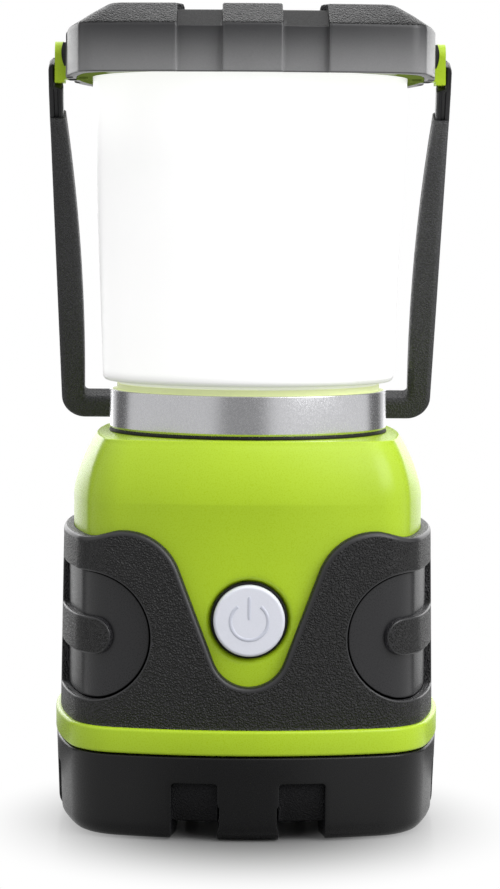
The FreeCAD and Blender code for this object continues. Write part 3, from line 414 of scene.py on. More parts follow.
def new_group(name, inputs, outputs):
    """An empty group of nodes, what it is given and the node that takes its results."""
    tree = bpy.data.node_groups.new(name, "ShaderNodeTree")
    for label, kind, value in inputs:
        socket = tree.interface.new_socket(label, in_out="INPUT", socket_type="NodeSocket" + kind)
        if value is not None:
            socket.default_value = value
    for label, kind in outputs:
        tree.interface.new_socket(label, in_out="OUTPUT", socket_type="NodeSocket" + kind)
    return Nodes(tree), tree.nodes.new("NodeGroupInput").outputs, tree.nodes.new("NodeGroupOutput")


middle_grey, pale_grey = (0.5, 0.5, 0.5, 1), (0.7, 0.7, 0.7, 1)


def leather_grain_group():
    """Raised pebbles of moulded leather grain, a height and a mask of the hollows between them."""
    nodes, given, out = new_group(
        "leather_grain", [("Place", "Vector", None), ("Pebbles per mm", "Float", 1.6)],
        [("Height", "Float"), ("Hollows", "Float"), ("Glint", "Float")])
    bent = nodes.noise(given["Place"], 0.9, 2.0)["Color"]
    away = nodes.add("TexVoronoi", {"feature": "SMOOTH_F1"}, Scale=given["Pebbles per mm"], Smoothness=0.35,
                     Vector=nodes.moved(bent, (0.55, 0.55, 0.55), given["Place"]))["Distance"]
    fine = nodes.noise(given["Place"], 5.5, 3.0)[0]
    pebble = nodes.spread(away, 0.1, 0.75, 1.0, 0.0)
    nodes.fill(out, {"Height": nodes.plus(pebble, nodes.times(fine, 0.35)),
                     "Hollows": nodes.spread(away, 0.3, 0.8), "Glint": nodes.spread(fine, 0.45, 0.75)})
    return nodes.tree


def moulded_skin_group():
    """Fine matt texture of a moulded part, with slow changes in tone over the surface."""
    nodes, given, out = new_group(
        "moulded_skin", [("Place", "Vector", None), ("Tone", "Color", middle_grey), ("Change", "Float", 0.06),
                         ("Roughness", "Float", 0.4)],
        [("Color", "Color"), ("Roughness", "Float"), ("Height", "Float")])
    slow = nodes.noise(given["Place"], 0.035, 3.0)[0]
    fine = nodes.noise(given["Place"], 3.2, 4.0, 0.65)[0]
    both = nodes.plus(nodes.spread(slow, 0.3, 0.7, -1.0, 1.0), nodes.spread(fine, 0.3, 0.7, -0.6, 0.6))
    gain = nodes.plus(nodes.times(both, given["Change"]), 1.0)
    rough = nodes.plus(given["Roughness"], nodes.spread(fine, 0.25, 0.75, -0.09, 0.09))
    nodes.fill(out, {"Color": nodes.scaled(given["Tone"], gain), "Roughness": rough, "Height": fine})
    return nodes.tree


def painted_edge_highlight_group():
    """Paler colour on sharply bent edges, from how sharply the surface bends: a painted edge highlight."""
    nodes, given, out = new_group(
        "painted_edge_highlight", [("Tone", "Color", middle_grey), ("Rubbed", "Color", pale_grey), ("Amount", "Float", 0.4)],
        [("Color", "Color")])
    bend = nodes.add("NewGeometry")["Pointiness"]
    edge = nodes.times(nodes.spread(bend, 0.52, 0.62), given["Amount"])
    nodes.fill(out, {"Color": nodes.mix(edge, given["Tone"], given["Rubbed"])})
    return nodes.tree


leather_grain = leather_grain_group()
moulded_skin = moulded_skin_group()
painted_edge_highlight = painted_edge_highlight_group()


class Finish(Nodes):
    """A material with its shader, and the place on the piece in millimetres."""

    def __init__(self, name, **values):
        self.made = bpy.data.materials.new(name)
        super().__init__(cleared(self.made))
        self.shader = self.tree.nodes.new("ShaderNodeBsdfPrincipled")
        self.add("OutputMaterial", at0=self.fill(self.shader, values)[0])
        self.place = self.scaled(self.add("TexCoord")["Object"], 1 / MM)

    def height(self):
        return self.split(self.place)[2]

    def skin(self, tone, change, roughness):
        return self.use(moulded_skin, Place=self.place, Tone=tone, Change=change, Roughness=roughness)

    def grain(self, pebbles):
        return self.use(leather_grain, Place=self.place, Pebbles_per_mm=pebbles)

    def paint_edge_highlight(self, tone, highlight_tone, amount):
        return self.use(painted_edge_highlight, Tone=tone, Rubbed=highlight_tone, Amount=amount)["Color"]

    def done(self, skin, bump=None, colour=None, roughness=None, height=None, **values):
        """Links the skin, or what is given instead, to the shader; bump is in millimetres."""
        values["Base_Color"], values["Roughness"] = colour or skin["Color"], roughness or skin["Roughness"]
        if bump:
            values["Normal"] = self.add("Bump", Height=height or skin["Height"], Distance=bump * MM)[0]
        self.fill(self.shader, values)
        return self.made


def moulded_finish(name, tone, roughness, change, bump, sheen=0.5, highlight_tone=None, **values):
    """Plain skin: how much its tone changes, its bump in millimetres, its sheen, and a painted highlight on sharp
    edges where a highlight tone is given.
    """
    finish = Finish(name, Specular_IOR_Level=sheen, **values)
    skin = finish.skin(tone, change, roughness)
    return finish.done(skin, bump, highlight_tone and finish.paint_edge_highlight(skin["Color"], highlight_tone, 0.5))


def grained_finish(name, tone, roughness, pebbles, bump, highlight_tone, sheen=0.4):
    """Textured rubber: leather grain over the moulded skin, with a painted highlight on sharp edges."""
    finish = Finish(name, Specular_IOR_Level=sheen)
    grain, skin = finish.grain(pebbles), finish.skin(tone, 0.12, roughness)
    mixed = finish.mix(finish.times(grain["Hollows"], 0.5), skin["Color"], (0.004, 0.004, 0.004, 1))
    rough = finish.minus(skin["Roughness"], finish.times(grain["Glint"], 0.14))
    return finish.done(skin, bump, finish.paint_edge_highlight(mixed, highlight_tone, 0.6), rough, grain["Height"])


def cap_finish_made():
    """Satin black with painted light: paler down the sides as the lamp's painted glow, painted shade under the rim
    and along the crease, lighter up the slope, and leather grain on the slope and the top only.
    """
    finish = Finish("cap_satin_black_painted_light", Specular_IOR_Level=0.5)
    grain, height = finish.grain(2.2), finish.height()
    upper = finish.spread(height, cap_shoulder - 0.1, cap_shoulder + 0.5)
    # Painted glow from the lamp below: paler towards the foot of the sides.
    side = finish.mix(finish.spread(height, cap_bottom - 2, cap_shoulder + 1),
                      (142, 142, 143), (46, 46, 48))
    # Painted shade on the underside of the rim.
    tone = finish.mix(finish.spread(height, cap_bottom + 0.05, cap_bottom + 0.35), (22, 22, 23), side)
    # Painted shade along the crease, and painted light growing up the slope.
    foot = finish.spread(height, cap_shoulder - 0.4, cap_shoulder + 0.2, 1.0, 0.45)
    painted_slope_light = finish.plus(foot, finish.spread(height, cap_shoulder + 0.6, cap_shoulder + 3.5, 0.0, 0.8))
    skin = finish.skin(finish.scaled(tone, painted_slope_light), 0.07, 0.36)
    hollows = finish.times(finish.times(grain["Hollows"], 0.5), upper)
    mixed = finish.mix(hollows, skin["Color"], (0.008, 0.008, 0.008, 1))
    rough = finish.plus(skin["Roughness"], finish.times(upper, -0.02))
    return finish.done(skin, 1.2, finish.paint_edge_highlight(mixed, (110, 110, 112), 0.5), rough,
                       finish.times(grain["Height"], upper))


def cap_notch_finish_made():
    """Smooth floor of the cap's notches, with painted shade darkest along the crease."""
    finish = Finish("cap_notch_painted_crease_shade", Specular_IOR_Level=0.12)
    # Painted shade: near black below the crease, dark grey above it.
    above = finish.spread(finish.height(), cap_shoulder - 0.62, cap_shoulder - 0.4)
    skin = finish.skin(finish.mix(above, (3, 3, 3), (18, 18, 19)), 0.08, 0.46)
    return finish.done(skin, 0.012)


def panel_finish_made():
    """Satin floor of the round windows, with painted shade along the foot of their edge."""
    finish = Finish("window_floor_satin_painted_edge_shade")
    at = finish.split(finish.place)
    inward = finish.most(finish.minus(window_at, finish.size(at[0])), 0.0)
    away = finish.length(finish.add("CombineXYZ", X=inward, Y=finish.minus(at[2], window_middle))[0])
    # Painted shade: colour and sheen fall away along the foot of the window's edge.
    inside = finish.spread(away, window_radius - 0.5, window_radius - 0.2, 1.0, 0.0)
    skin = finish.skin((31, 31, 33), 0.06, 0.3)
    return finish.done(skin, 0.012, finish.scaled(skin["Color"], inside),
                       Specular_IOR_Level=finish.times(inside, 0.45))


def plate_finish_made():
    """Green plate under the cap: bright on the ears, with painted shade inside the cap, a duller darker green there
    and no sheen beside the shade.
    """
    finish = Finish("plate_green_painted_shade")
    across = finish.size(finish.split(finish.place)[0])
    on_ear = finish.spread(across, cap_half - 0.4, cap_half)
    # Painted shade: a duller, darker green inside the cap than on the ears.
    skin = finish.skin(finish.mix(on_ear, (118, 136, 62), green), 0.06, 0.34)
    # Painted shade: the sheen falls away inside the cap beside the shade.
    sheen = finish.most(on_ear, finish.spread(across, 29.0, 33.0, 1.0, 0.0))
    return finish.done(skin, 0.02, Specular_IOR_Level=finish.times(sheen, 0.4))


def blasted_finish_made():
    """Bead-blasted aluminium with a fine speckle in tone and sheen."""
    finish = Finish("satin_aluminium", Metallic=1.0)
    speck = finish.noise(finish.place, 2.6, 3.0, 0.7)[0]
    skin = finish.skin((208, 208, 211), 0.03, 0.19)
    tone = finish.scaled(skin["Color"], finish.spread(speck, 0.35, 0.65, 0.93, 1.05))
    rough = finish.plus(skin["Roughness"], finish.spread(speck, 0.4, 0.7, 0.0, 0.06))
    return finish.done(skin, colour=tone, roughness=rough)


def milky_finish_made():
    """Milky plastic lit from inside, dimmer at its foot and edges and brighter at its head."""
    finish = Finish("milky_lit", Emission_Strength=0.75, Specular_IOR_Level=0.15)
    skin, height = finish.skin((206, 206, 206), 0.01, 0.35), finish.height()
    foot, head = finish.spread(height, 101.0, 104.0, 0.35, 1.0), finish.spread(height, 150.0, 172.0, 1.0, 1.3)
    facing = finish.add("LayerWeight", Blend=0.35)["Facing"]
    lit = finish.times(finish.times(foot, head), finish.spread(facing, 0.5, 0.95, 1.32, 0.75))
    return finish.done(skin, roughness=0.35, Emission_Color=finish.scaled(skin["Color"], lit))


green = (177, 209, 38)
# Where a finish is given a second colour, that is the tone of its painted edge highlight.
green_finish = moulded_finish("green_moulded", green, 0.3, 0.04, 0.012, 0.4)
rubber_finish = grained_finish("grip_rubber_grain", (24, 24, 25), 0.42, 2.3, 0.42, (78, 76, 84))
# Smooth rubber along the grip's cut edges. Its paler tone is a painted highlight.
rim_finish = moulded_finish("grip_rim_smooth_painted_highlight", (36, 36, 38), 0.36, 0.08, 0.02)
sleeve_finish = grained_finish("sleeve_rubber_grain", (64, 64, 66), 0.55, 2.4, 0.16, (90, 90, 92))
base_finish = moulded_finish("base_satin_black", (14, 14, 15), 0.3, 0.08, 0.02, 0.3, (60, 60, 64))
notch_finish = grained_finish("base_notch_grain", (9, 9, 10), 0.6, 3.0, 0.12, (40, 40, 42), 0.12)
black_finish = moulded_finish("black_satin", (28, 28, 30), 0.34, 0.08, 0.02, 0.4, (70, 70, 72))
seal_finish = moulded_finish("silicone_black", (10, 10, 11), 0.5, 0.1, 0.03, 0.3)
mark_finish = moulded_finish("power_mark_grey", (206, 209, 222), 0.4, 0.03, 0.01)
cap_finish, cap_notch_finish = cap_finish_made(), cap_notch_finish_made()
ring_finish, panel_finish, plate_finish = blasted_finish_made(), panel_finish_made(), plate_finish_made()
steel_finish = moulded_finish("screw_steel", (178, 178, 182), 0.3, 0.06, 0.01, Metallic=1.0)

# Finishes of the pieces that show the solids themselves, by node and then by slot
own_finishes = {
    # Painted glow: the collar's lip shines with the lamp's light and is painted paler than the body's green.
    "neck_collar": moulded_finish("collar_lip_painted_glow", (222, 230, 176), 0.4, 0.02, 0.01,
                                  Emission_Color=(226, 232, 190), Emission_Strength=0.2),
    # Painted glow: the shade's seal shines with the lamp's light.
    "shade_seal": moulded_finish("shade_seal_milky_painted_glow", (232, 236, 226), 0.5, 0.03, 0.02,
                                 Emission_Color=(236, 238, 228), Emission_Strength=0.3),
    "cap_frame": plate_finish,
}
kept_finishes = {
    "green_plastic": green_finish, "grip_rubber": sleeve_finish, "panel_plastic": panel_finish,
    "black_plastic": black_finish, "seal_rubber": seal_finish, "satin_aluminium": ring_finish,
    "screw_steel": steel_finish, "spring_steel": steel_finish, "milky_plastic": milky_finish_made(),
    "button_plastic": moulded_finish("button_pale", (230, 232, 242), 0.46, 0.02, 0.008, 0.3),
    "white_plastic": moulded_finish("reflector_white", (238, 238, 236), 0.35, 0.02, 0.01),
    "clear_plastic": moulded_finish("clear_cover", (236, 240, 242), 0.12, 0.01, 0.004, Transmission_Weight=0.9),
    "contact_metal": moulded_finish("contact_metal", (214, 190, 128), 0.3, 0.06, 0.01, Metallic=1.0),
}
for name, *values in [
        ("circuit_board", (28, 92, 52), 0.45, 0.1, 0.02), ("light_board", (232, 232, 230), 0.5, 0.03, 0.01),
        ("led_phosphor", (236, 208, 88), 0.5, 0.08, 0.02), ("switch_plastic", (52, 52, 56), 0.45, 0.08, 0.02),
        ("cell_jacket", (60, 74, 96), 0.35, 0.06, 0.01), ("wire_jacket", (150, 36, 34), 0.5, 0.06, 0.02)]:
    kept_finishes[name] = moulded_finish(name, *values)
for name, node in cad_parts.items():
    slot = node.data.materials[0].name
    node.data.materials.clear()
    node.data.materials.append(own_finishes.get(name, kept_finishes[slot]))

# Green body -------------------------------------------------------------------

body_columns = even_columns(312)


def shoulder_rows(inset):
    """Rows of the shoulder, from the crease to the top, drawn in by a wall."""
    height = shell_top - crease
    bow = (shoulder_drop - shoulder_slope * height) / height ** 2
    rows = []
    for share in np.linspace(0, 1, 13):
        rise = share * height
        half = wall_half - shoulder_slope * rise - bow * rise ** 2 - inset
        face, corner = face_radius + wall_half - band_half, corner_radius + wall_half - band_half
        face, corner = face + share * (shoulder_face - face), corner + share * (shoulder_corner - corner)
        rows.append((half, face - inset, corner - inset, crease + rise))
    return rows


def body_shell():
    mould = Mould()
    rows = np.linspace(band_top, crease - crease_edge, 50)

    def keep(u, t):
        x, y = outline(u, wall_half)
        away = np.where(y < 0, np.hypot(x, t - button_at), 60.0) - button_hole - button_well
        return away, button_well

    lip = [(0.35, 0.08), (0.65, 0.32), (0.88, 0.75), (1.0, 1.4)]
    trimmed(mould, body_columns, rows, skin_at(wall_half), skin_at(inner_half), keep, lip, borders=False)
    band = rounded([(wall_half, band_top), (band_half, band_top), (band_half, band_bottom),
                    (band_inner, band_bottom), (band_inner, band_top), (inner_half, band_top)],
                   [0, 0.7, 0.7, 0.3, 0, 0])
    mould.wall(around(body_columns, band))
    outer, inner, edge, soft = shoulder_rows(0), shoulder_rows(shell_wall), 0.45, 0.12
    profile = [(wall_half, crease - crease_edge), (wall_half, crease - soft),
               (wall_half - soft * shoulder_slope, crease + soft), *outer[1:-1]]
    half, face, corner, top = outer[-1]
    for turn in np.radians((0, 22, 45, 68, 90)):
        drawn = edge * (1 - math.cos(turn)) - 0.3 * edge * math.cos(turn)
        profile.append((half - drawn, face - drawn, corner - drawn, top - edge + edge * math.sin(turn)))
    loft = [*around(body_columns, profile)]
    rim_x, rim_y = outline(body_columns, half - edge, face - edge, corner - edge)
    turn = np.arctan2(rim_y, rim_x)
    for radius, level in ((30.0, top), (24.0, top), (24.0, top - shell_wall)):
        loft.append(stacked(radius * np.cos(turn), radius * np.sin(turn), level))
    under = [(*sizes, z - shell_wall) for *sizes, z in reversed(inner[3:])]
    mould.wall(loft + [*around(body_columns, under + [(inner_half, crease - crease_edge)])])
    shown("body_shell_green", mould, "lantern_body", green_finish, ["body_shell"], 35)


# Rubber grip with its wave edge, windows and tabs -----------------------------


def arc(centre, radius, start, end, count):
    angle = np.linspace(start, end, count)
    return stacked(centre[0] + radius * np.cos(angle), centre[1] + radius * np.sin(angle), 0)[:, :2]


def wave_line():
    """Points along the top edge of the grip from the middle of a face to its side."""
    valley, crest = (0.0, wave_valley + valley_radius), (wave_crest_at, wave_crest - crest_radius)
    run, rise = crest[0] - valley[0], crest[1] - valley[1]
    lean = math.atan2(rise, run) + math.asin((valley_radius + crest_radius) / math.hypot(run, rise))
    low = arc(valley, valley_radius, -math.pi / 2, lean - math.pi / 2, 24)
    high = arc(crest, crest_radius, lean + math.pi / 2, math.pi / 2, 24)
    flank = low[-1] + np.linspace(0, 1, 30)[1:-1, None] * (high[0] - low[-1])
    share = np.linspace(0, 1, 14)[1:]
    fall_x = crest[0] + wave_fall * share
    fall_z = wave_side + (wave_crest - wave_side) * (1 + np.cos(math.pi * share)) / 2
    side_x = np.linspace(fall_x[-1], wave_end, 10)[1:]
    side = np.stack([np.append(fall_x, side_x), np.append(fall_z, np.full(len(side_x), wave_side))], -1)
    return np.concatenate([low, flank, high, side])


wave = wave_line()


def below_wave(x, z):
    """Distance below the wave edge, less than 0 above it."""
    shape = np.shape(x)
    at = np.stack([np.abs(x).ravel(), np.broadcast_to(z, shape).ravel()], -1)
    best = np.full(len(at), 1e9)
    for start, end in zip(wave[:-1], wave[1:]):
        run = end - start
        share = np.clip(((at - start) @ run) / (run @ run), 0, 1)
        best = np.minimum(best, np.hypot(*(at - start - share[:, None] * run).T))
    height = np.interp(at[:, 0], wave[:, 0], wave[:, 1])
    return np.where(at[:, 1] < height, best, -best).reshape(shape)


def in_window(x, y, z):
    """Distance outside the round-ended windows, less than 0 within them."""
    ends = np.hypot(np.maximum(window_at - np.abs(x), 0), z - window_middle) - window_radius
    return round_max(ends, rib_half - np.abs(y), 2.2)


def in_tab(x, z):
    """Distance inside the tab that crosses each window."""
    centre = bar_reach + bar_half_height
    return bar_half_height - np.hypot(np.maximum(centre - np.abs(x), 0), z - window_middle)


def grip_half(z):
    share = (z - band_top) / (wave_crest - band_top)
    return grip_foot_half + share * (grip_head_half - grip_foot_half)


def grip_wrap():
    mould = Mould()
    rows = np.linspace(band_top, wave_crest + 1.5, 52)
    wave_lip, window_lip = 1.05, 0.4

    def keep(u, t):
        x, y = outline(u, window_plane)
        edge = below_wave(x, t) - wave_lip
        hole = soft_max(in_window(x, y, t), in_tab(x, t), 2.5) - window_lip
        return np.minimum(edge, hole), np.where(edge < hole, wave_lip, window_lip)

    lip = [(0.3, 0.06), (0.62, 0.24), (0.86, 0.52), (1.0, 0.95)]
    trimmed(mould, even_columns(344), rows, skin_at(grip_half), skin_at(wall_half + 0.1), keep, lip)
    shown("grip_rubber_wrap", mould, "lantern_body", rubber_finish,
          ["grip_wrap", "right_side_bar", "left_side_bar"], 50, rim_finish)


def window_floors():
    reach = window_radius + 1.2
    rows = np.linspace(window_middle - reach, window_middle + reach, 33)
    for name, side in (("right", 1), ("left", -1)):
        mould = Mould()

        def keep(u, t):
            x, y = outline(u, window_plane)
            inside = np.where(x * side > 0, -in_window(x, y, t), -30.0)
            return inside + 0.15, 0.1

        trimmed(mould, body_columns, rows, skin_at(window_floor_half), skin_at(wall_half + 0.2), keep, [(1.0, 1.0)])
        shown(name + "_window_floor", mould, "lantern_body", panel_finish,
              [name + "_side_panel"], 50)


# Base -------------------------------------------------------------------------


def base_cover():
    mould = Mould()
    columns = even_columns(344)
    side = rounded([(dish_half, 0.5), (dish_half + 0.5, 0), (base_foot_half, 0), (base_half, base_height)],
                   [0, 0, base_round, 0], 12)
    legs = np.concatenate([[0], np.cumsum(np.hypot(*np.diff(side, axis=0).T))])
    cut_end = float(np.interp(base_cut_top, side[:, 1], legs))
    notch_lip = 0.3

    def profile(t):
        return np.interp(t, legs, side[:, 0]), np.interp(t, legs, side[:, 1])

    def front(u, t, deep):
        half, z = profile(t)
        ahead, behind = profile(t + 0.05), profile(t - 0.05)
        run, rise = ahead[0] - behind[0], ahead[1] - behind[1]
        length = np.maximum(np.hypot(run, rise), 1e-6)
        return stacked(*outline(u, half - deep * rise / length), z + deep * run / length)

    def back(u, t):
        return stacked(*outline(u, dish_half), np.maximum(profile(t)[1], 0.5))

    def keep(u, t):
        half, z = profile(t)
        middle, width, _ = base_notch
        beside = np.abs(np.abs(beside_face(u, half)) - middle) - width / 2
        corner = np.mod(u + face_run / 2, quarter_run) > face_run
        return round_max(np.where(corner, 20.0, beside), z - base_notch_top, 0.7) - notch_lip, notch_lip

    rows = np.linspace(0, cut_end, 27)
    trimmed(mould, columns, rows, front, back, keep, [(0.4, 0.08), (0.8, 0.4), (1.0, 1.0)], borders=False)
    half = float(profile(cut_end)[0])
    top = rounded([(half, base_cut_top), (base_half, base_height), (spigot_radius, base_height)], [0, 0.6, 0])
    mould.wall(around(columns, [*top, (dish_half, base_height), (dish_half, base_cut_top)]))
    shown("base_satin_skirt", mould, "base", base_finish, ["base_cover"], 40)

    plate = Mould()
    foot, bore = dish_top + dish_floor, spigot_radius - spigot_wall
    plate.bar(around(columns, [(dish_half + 0.1, foot), (dish_half + 0.1, dish_top)]))
    turned(plate, np.array([(bore, foot), (bore, spigot_top), (spigot_radius - 0.3, spigot_top),
                            (spigot_radius, spigot_top - 0.3), (spigot_radius, foot)]))
    shown("base_dish_and_spigot", plate, "base", base_finish)

    panels = Mould()
    middle, width, depth = base_notch
    foot = float(np.interp(base_gap_top, side[:, 1], side[:, 0])) - depth
    head = float(np.interp(base_notch_top, side[:, 1], side[:, 0])) - depth
    block = rounded([(dish_half, base_gap_top), (foot, base_gap_top), (head, base_notch_top + 0.1),
                     (dish_half, base_notch_top + 0.1)], [0, 0.35, 0, 0])
    for quarter in range(4):
        for side_sign in (1, -1):
            beside = side_sign * middle + np.linspace(-width / 2 - 0.05, width / 2 + 0.05, 11)
            u = quarter * quarter_run + face_radius * np.arcsin(beside / (face_radius - depth))
            panels.bar(np.swapaxes(around(u, block), 0, 1))
    shown("base_notch_panels", panels, "base", notch_finish)


def base_fittings():
    """Bearing blocks of the hook under the floor of the base, and the ramped lugs round the spigot."""
    blocks = Mould()
    turn = np.linspace(0, 2 * math.pi, 64, endpoint=False)
    across, up = np.cos(turn), np.sin(turn)
    rise = np.where(up < 0, 1.5, dish_top + 0.3 - hook_level)
    reach = np.minimum(hook_block_half / np.maximum(np.abs(across), 1e-6), rise / np.maximum(np.abs(up), 1e-6))
    reach = np.where(up < 0, np.minimum(reach, 2.7), reach)
    bore = np.full(len(turn), hook_bore)
    for side in (1, -1):
        rings = [(hook_block_end - 0.5, bore), (hook_block_start, bore), (hook_block_start, reach - 0.12),
                 (hook_block_start + 0.12, reach), (hook_block_end - 0.25, reach), (hook_block_end, reach - 0.25)]
        blocks.bar([stacked(side * x, hook_axis_at + away * across, hook_level + away * up) for x, away in rings])
    shown("hook_bearing_blocks", blocks, "base", base_finish)

    lugs = Mould()
    section = rounded([(spigot_radius - 0.6, -lug_half_height), (spigot_radius + lug_reach, -lug_half_height),
                       (spigot_radius + lug_reach, lug_half_height), (spigot_radius - 0.6, lug_half_height)],
                      [0, 0.3, 0.3, 0])
    along = np.linspace(-lug_half_arc, lug_half_arc, 15)
    for middle in (45, 135, 225, 315):
        bearing = np.radians(middle + along)
        ramp = lug_level + lug_lead * along / 360
        rows = [stacked(radius * np.cos(bearing), radius * np.sin(bearing), ramp + z) for radius, z in section]
        lugs.bar(np.swapaxes(rows, 0, 1))
    shown("base_twist_lugs", lugs, "base", base_finish)


# Cap --------------------------------------------------------------------------


cap_face, cap_corner, cap_top_face, cap_top_corner, cap_under_corner = 150.0, 5.0, 300.0, 2.5, 13.0
notch_reach, slope_in, slope_down = 18.0, 0.447, 0.894


def cap_columns(middle, width):
    """Columns round the cap: quarter, place along its face or its corner, and how deep the notch is there."""
    near, far = middle - width / 2, middle + width / 2
    edge = [(-0.5, 0.0), (-0.25, 0.03), (-0.07, 0.12), (0.0, 0.28), (0.0, 0.85), (0.12, 0.96), (0.3, 1.0)]
    beside = [(x, 0.0) for x in np.linspace(0, near - 0.7, 6)] + [(near + d, share) for d, share in edge]
    beside += [(x, 1.0) for x in np.linspace(near + 0.8, far - 0.8, 8)]
    beside += [(far - d, share) for d, share in reversed(edge)]
    beside += [(x, 0.0) for x in np.linspace(far + 0.8, tangent_of(cap_half, cap_face, cap_corner), 16)]
    face = [(-x, share) for x, share in reversed(beside[1:])] + beside
    columns = []
    for quarter in range(4):
        columns += [(quarter, 0, x, share) for x, share in face]
        columns += [(quarter, 1, part, 0.0) for part in np.linspace(0, 1, 14)[1:-1]]
    return np.array(columns)


def tangent_of(half, face, corner):
    return face * arc_facts(half, face, corner)[1] / (face - corner)


def cap_ring(columns, half, face, corner):
    """x and y of every column on one outline of the cap; the notches keep their places along the face."""
    reach, middle, sweep = arc_facts(half, face, corner)
    quarter, bent, place = columns[:, 0], columns[:, 1] > 0, columns[:, 2]
    full = tangent_of(cap_half, cap_face, cap_corner)
    stretch = (tangent_of(half, face, corner) - notch_reach) / (full - notch_reach)
    away = np.abs(place)
    across = np.sign(place) * np.where(away < notch_reach, away, notch_reach + (away - notch_reach) * stretch)
    turn = np.where(bent, sweep + place * (math.pi / 2 - 2 * sweep), np.arcsin(np.clip(across / face, -1, 1)))
    radius = np.where(bent, corner, face)
    x = np.where(bent, middle, 0) + radius * np.sin(turn)
    y = np.where(bent, -middle, reach) - radius * np.cos(turn)
    return quartered(x, y, quarter)


def cap_inside(columns, profile):
    """Rings along the inside of the cap, one for each half width and height."""
    return [stacked(*cap_ring(columns, half, cap_face, cap_under_corner), z) for half, z in profile]


def cap_cover():
    mould = Mould()
    middle, width, depth = cap_notch
    columns = cap_columns(middle, width)
    share = columns[:, 3]
    run, rise = cap_half - cap_top_half, cap_top - cap_shoulder
    slant = math.hypot(run, rise)
    slope = math.atan2(rise, run)
    bend, head_in = math.tan(math.pi / 4 - slope / 2), math.tan(slope / 2)

    def row(half, z, in_half, in_z, up):
        """One ring, up being 0 on the side and 1 at the top; notches are drawn in and down."""
        face, corner = cap_face + up * (cap_top_face - cap_face), cap_corner + up * (cap_top_corner - cap_corner)
        x, y = cap_ring(columns, half, face, corner)
        inner_x, inner_y = cap_ring(columns, half - depth, face - depth, max(corner - depth, 0.6))
        drawn = share * in_half
        return stacked(x + (inner_x - x) * drawn, y + (inner_y - y) * drawn, z - depth * share * in_z)

    def eased(start, corner, end, part):
        start, corner, end = np.array(start), np.array(corner), np.array(end)
        return (1 - part) ** 2 * start + 2 * part * (1 - part) * corner + part ** 2 * end

    inside = cap_half - cap_wall
    rows = cap_inside(columns, [(inside, cap_shoulder - 2.0), (inside, cap_bottom + 0.4),
                                (inside + 0.3, cap_bottom)])
    for drawn, up in ((0.55, 0.0), (0.3, 0.04), (0.1, 0.14), (0.03, 0.3), (0.0, 0.5)):
        rows.append(row(cap_half - drawn, cap_bottom + up, 1, 0, 0))
    rows.append(row(cap_half, (cap_bottom + cap_shoulder) / 2, 1, 0, 0))
    edge, bent = 0.8, 0.92
    for part in np.linspace(0, 1, 6):
        half, z = eased((cap_half, cap_shoulder - edge), (cap_half, cap_shoulder),
                        (cap_half - edge * run / slant, cap_shoulder + edge * rise / slant), part)
        rows.append(row(half, z, 1 - 0.15 * part, bend * part, edge / slant * part ** 2))
    for part in (0.15, 0.5, 0.85):
        rows.append(row(cap_half - run * part, cap_shoulder + rise * part, slope_in, slope_down, part))
    for part in np.linspace(0, 1, 6):
        half, z = eased((cap_half - run * bent, cap_shoulder + rise * bent), (cap_top_half, cap_top),
                        (cap_top_half - 0.9, cap_top), part)
        rows.append(row(half, z, slope_in * (1 - part) + head_in * part, slope_down * (1 - part) + part,
                        bent + (1 - bent) * part))
    rim = rows[-1]
    for scale, sunk in ((0.93, 0.0), (0.915, 0.1), (0.905, 0.5), (0.9, 1.0), (0.5, 1.0), (0.02, 1.0)):
        ring = rim * scale
        ring[:, 2] = cap_top - depth * np.maximum(share, sunk)
        rows.append(ring)
    index = mould.wall(rows)
    sunk = (share > 0.8) & (np.roll(share, -1) > 0.8)
    slopes = range(11, 27)
    mould.rim = [level * len(share) + column for level in slopes for column in np.flatnonzero(sunk)]
    mould.lid(index[-1])
    mould.lid(index[0])
    shown("cap_satin_cover", mould, "shade", cap_finish, ["cap_cover"], 32, cap_notch_finish)


def cap_lining():
    """Green lip of the plate inside the cap's rim, and black blocks between the cap and the ears that paint the
    shade of the gap there.
    """
    lining = Mould()
    columns = cap_columns(*cap_notch[:2])
    outer = cap_half - cap_wall - 0.02
    inner, foot, head = outer - 0.4, cap_bottom + 0.12, cap_bottom + 2.0
    section = [(outer, head), (outer, foot), (inner, foot), (inner, head)]
    lining.wall(cap_inside(columns, section), closed=True)
    shown("cap_lining_green", lining, "shade", plate_finish)

    # Painted shade: black blocks fill the shadowed gap between the cap and each ear.
    shade_pads = Mould()
    for side in (1, -1):
        rows = []
        for z in np.linspace(ear_bottom + 1.4, ear_top - 0.3, 24):
            waist = math.sqrt(ear_waist_radius ** 2 - (z - ear_waist_level) ** 2) - ear_waist_radius + ear_waist
            x = np.array([cap_half - 0.5, ear_inner - 0.03 + max(waist, 0)])[[0, 1, 1, 0]]
            rows.append(stacked(side * x, ear_shade_pad_half * np.array([-1, -1, 1, 1]), z))
        shade_pads.bar(rows)
    shown("ear_gap_painted_shade", shade_pads, "shade", black_finish)


# Round pieces -----------------------------------------------------------------


def trim_ring():
    mould = Mould()
    profile = rounded([(collar_radius + 0.05, ring_bottom), (ring_radius - 0.35, ring_bottom),
                       (ring_radius, ring_bottom + 0.8), (ring_radius, ring_top), (collar_radius + 0.05, ring_top)],
                      [0, 0.2, 0.4, 0.25, 0])
    turned(mould, profile, 192)
    shown("trim_ring_aluminium", mould, "lantern_body", ring_finish, ["trim_ring"], 50)
    gasket = Mould()
    inner, outer, top = gasket_inner, ring_radius + 0.1, ring_bottom + 0.1
    turned(gasket, rounded([(inner, shell_top), (outer, shell_top), (outer, top), (inner, top)], [0, 0.1, 0.2, 0]))
    shown("trim_ring_gasket", gasket, "lantern_body", seal_finish)


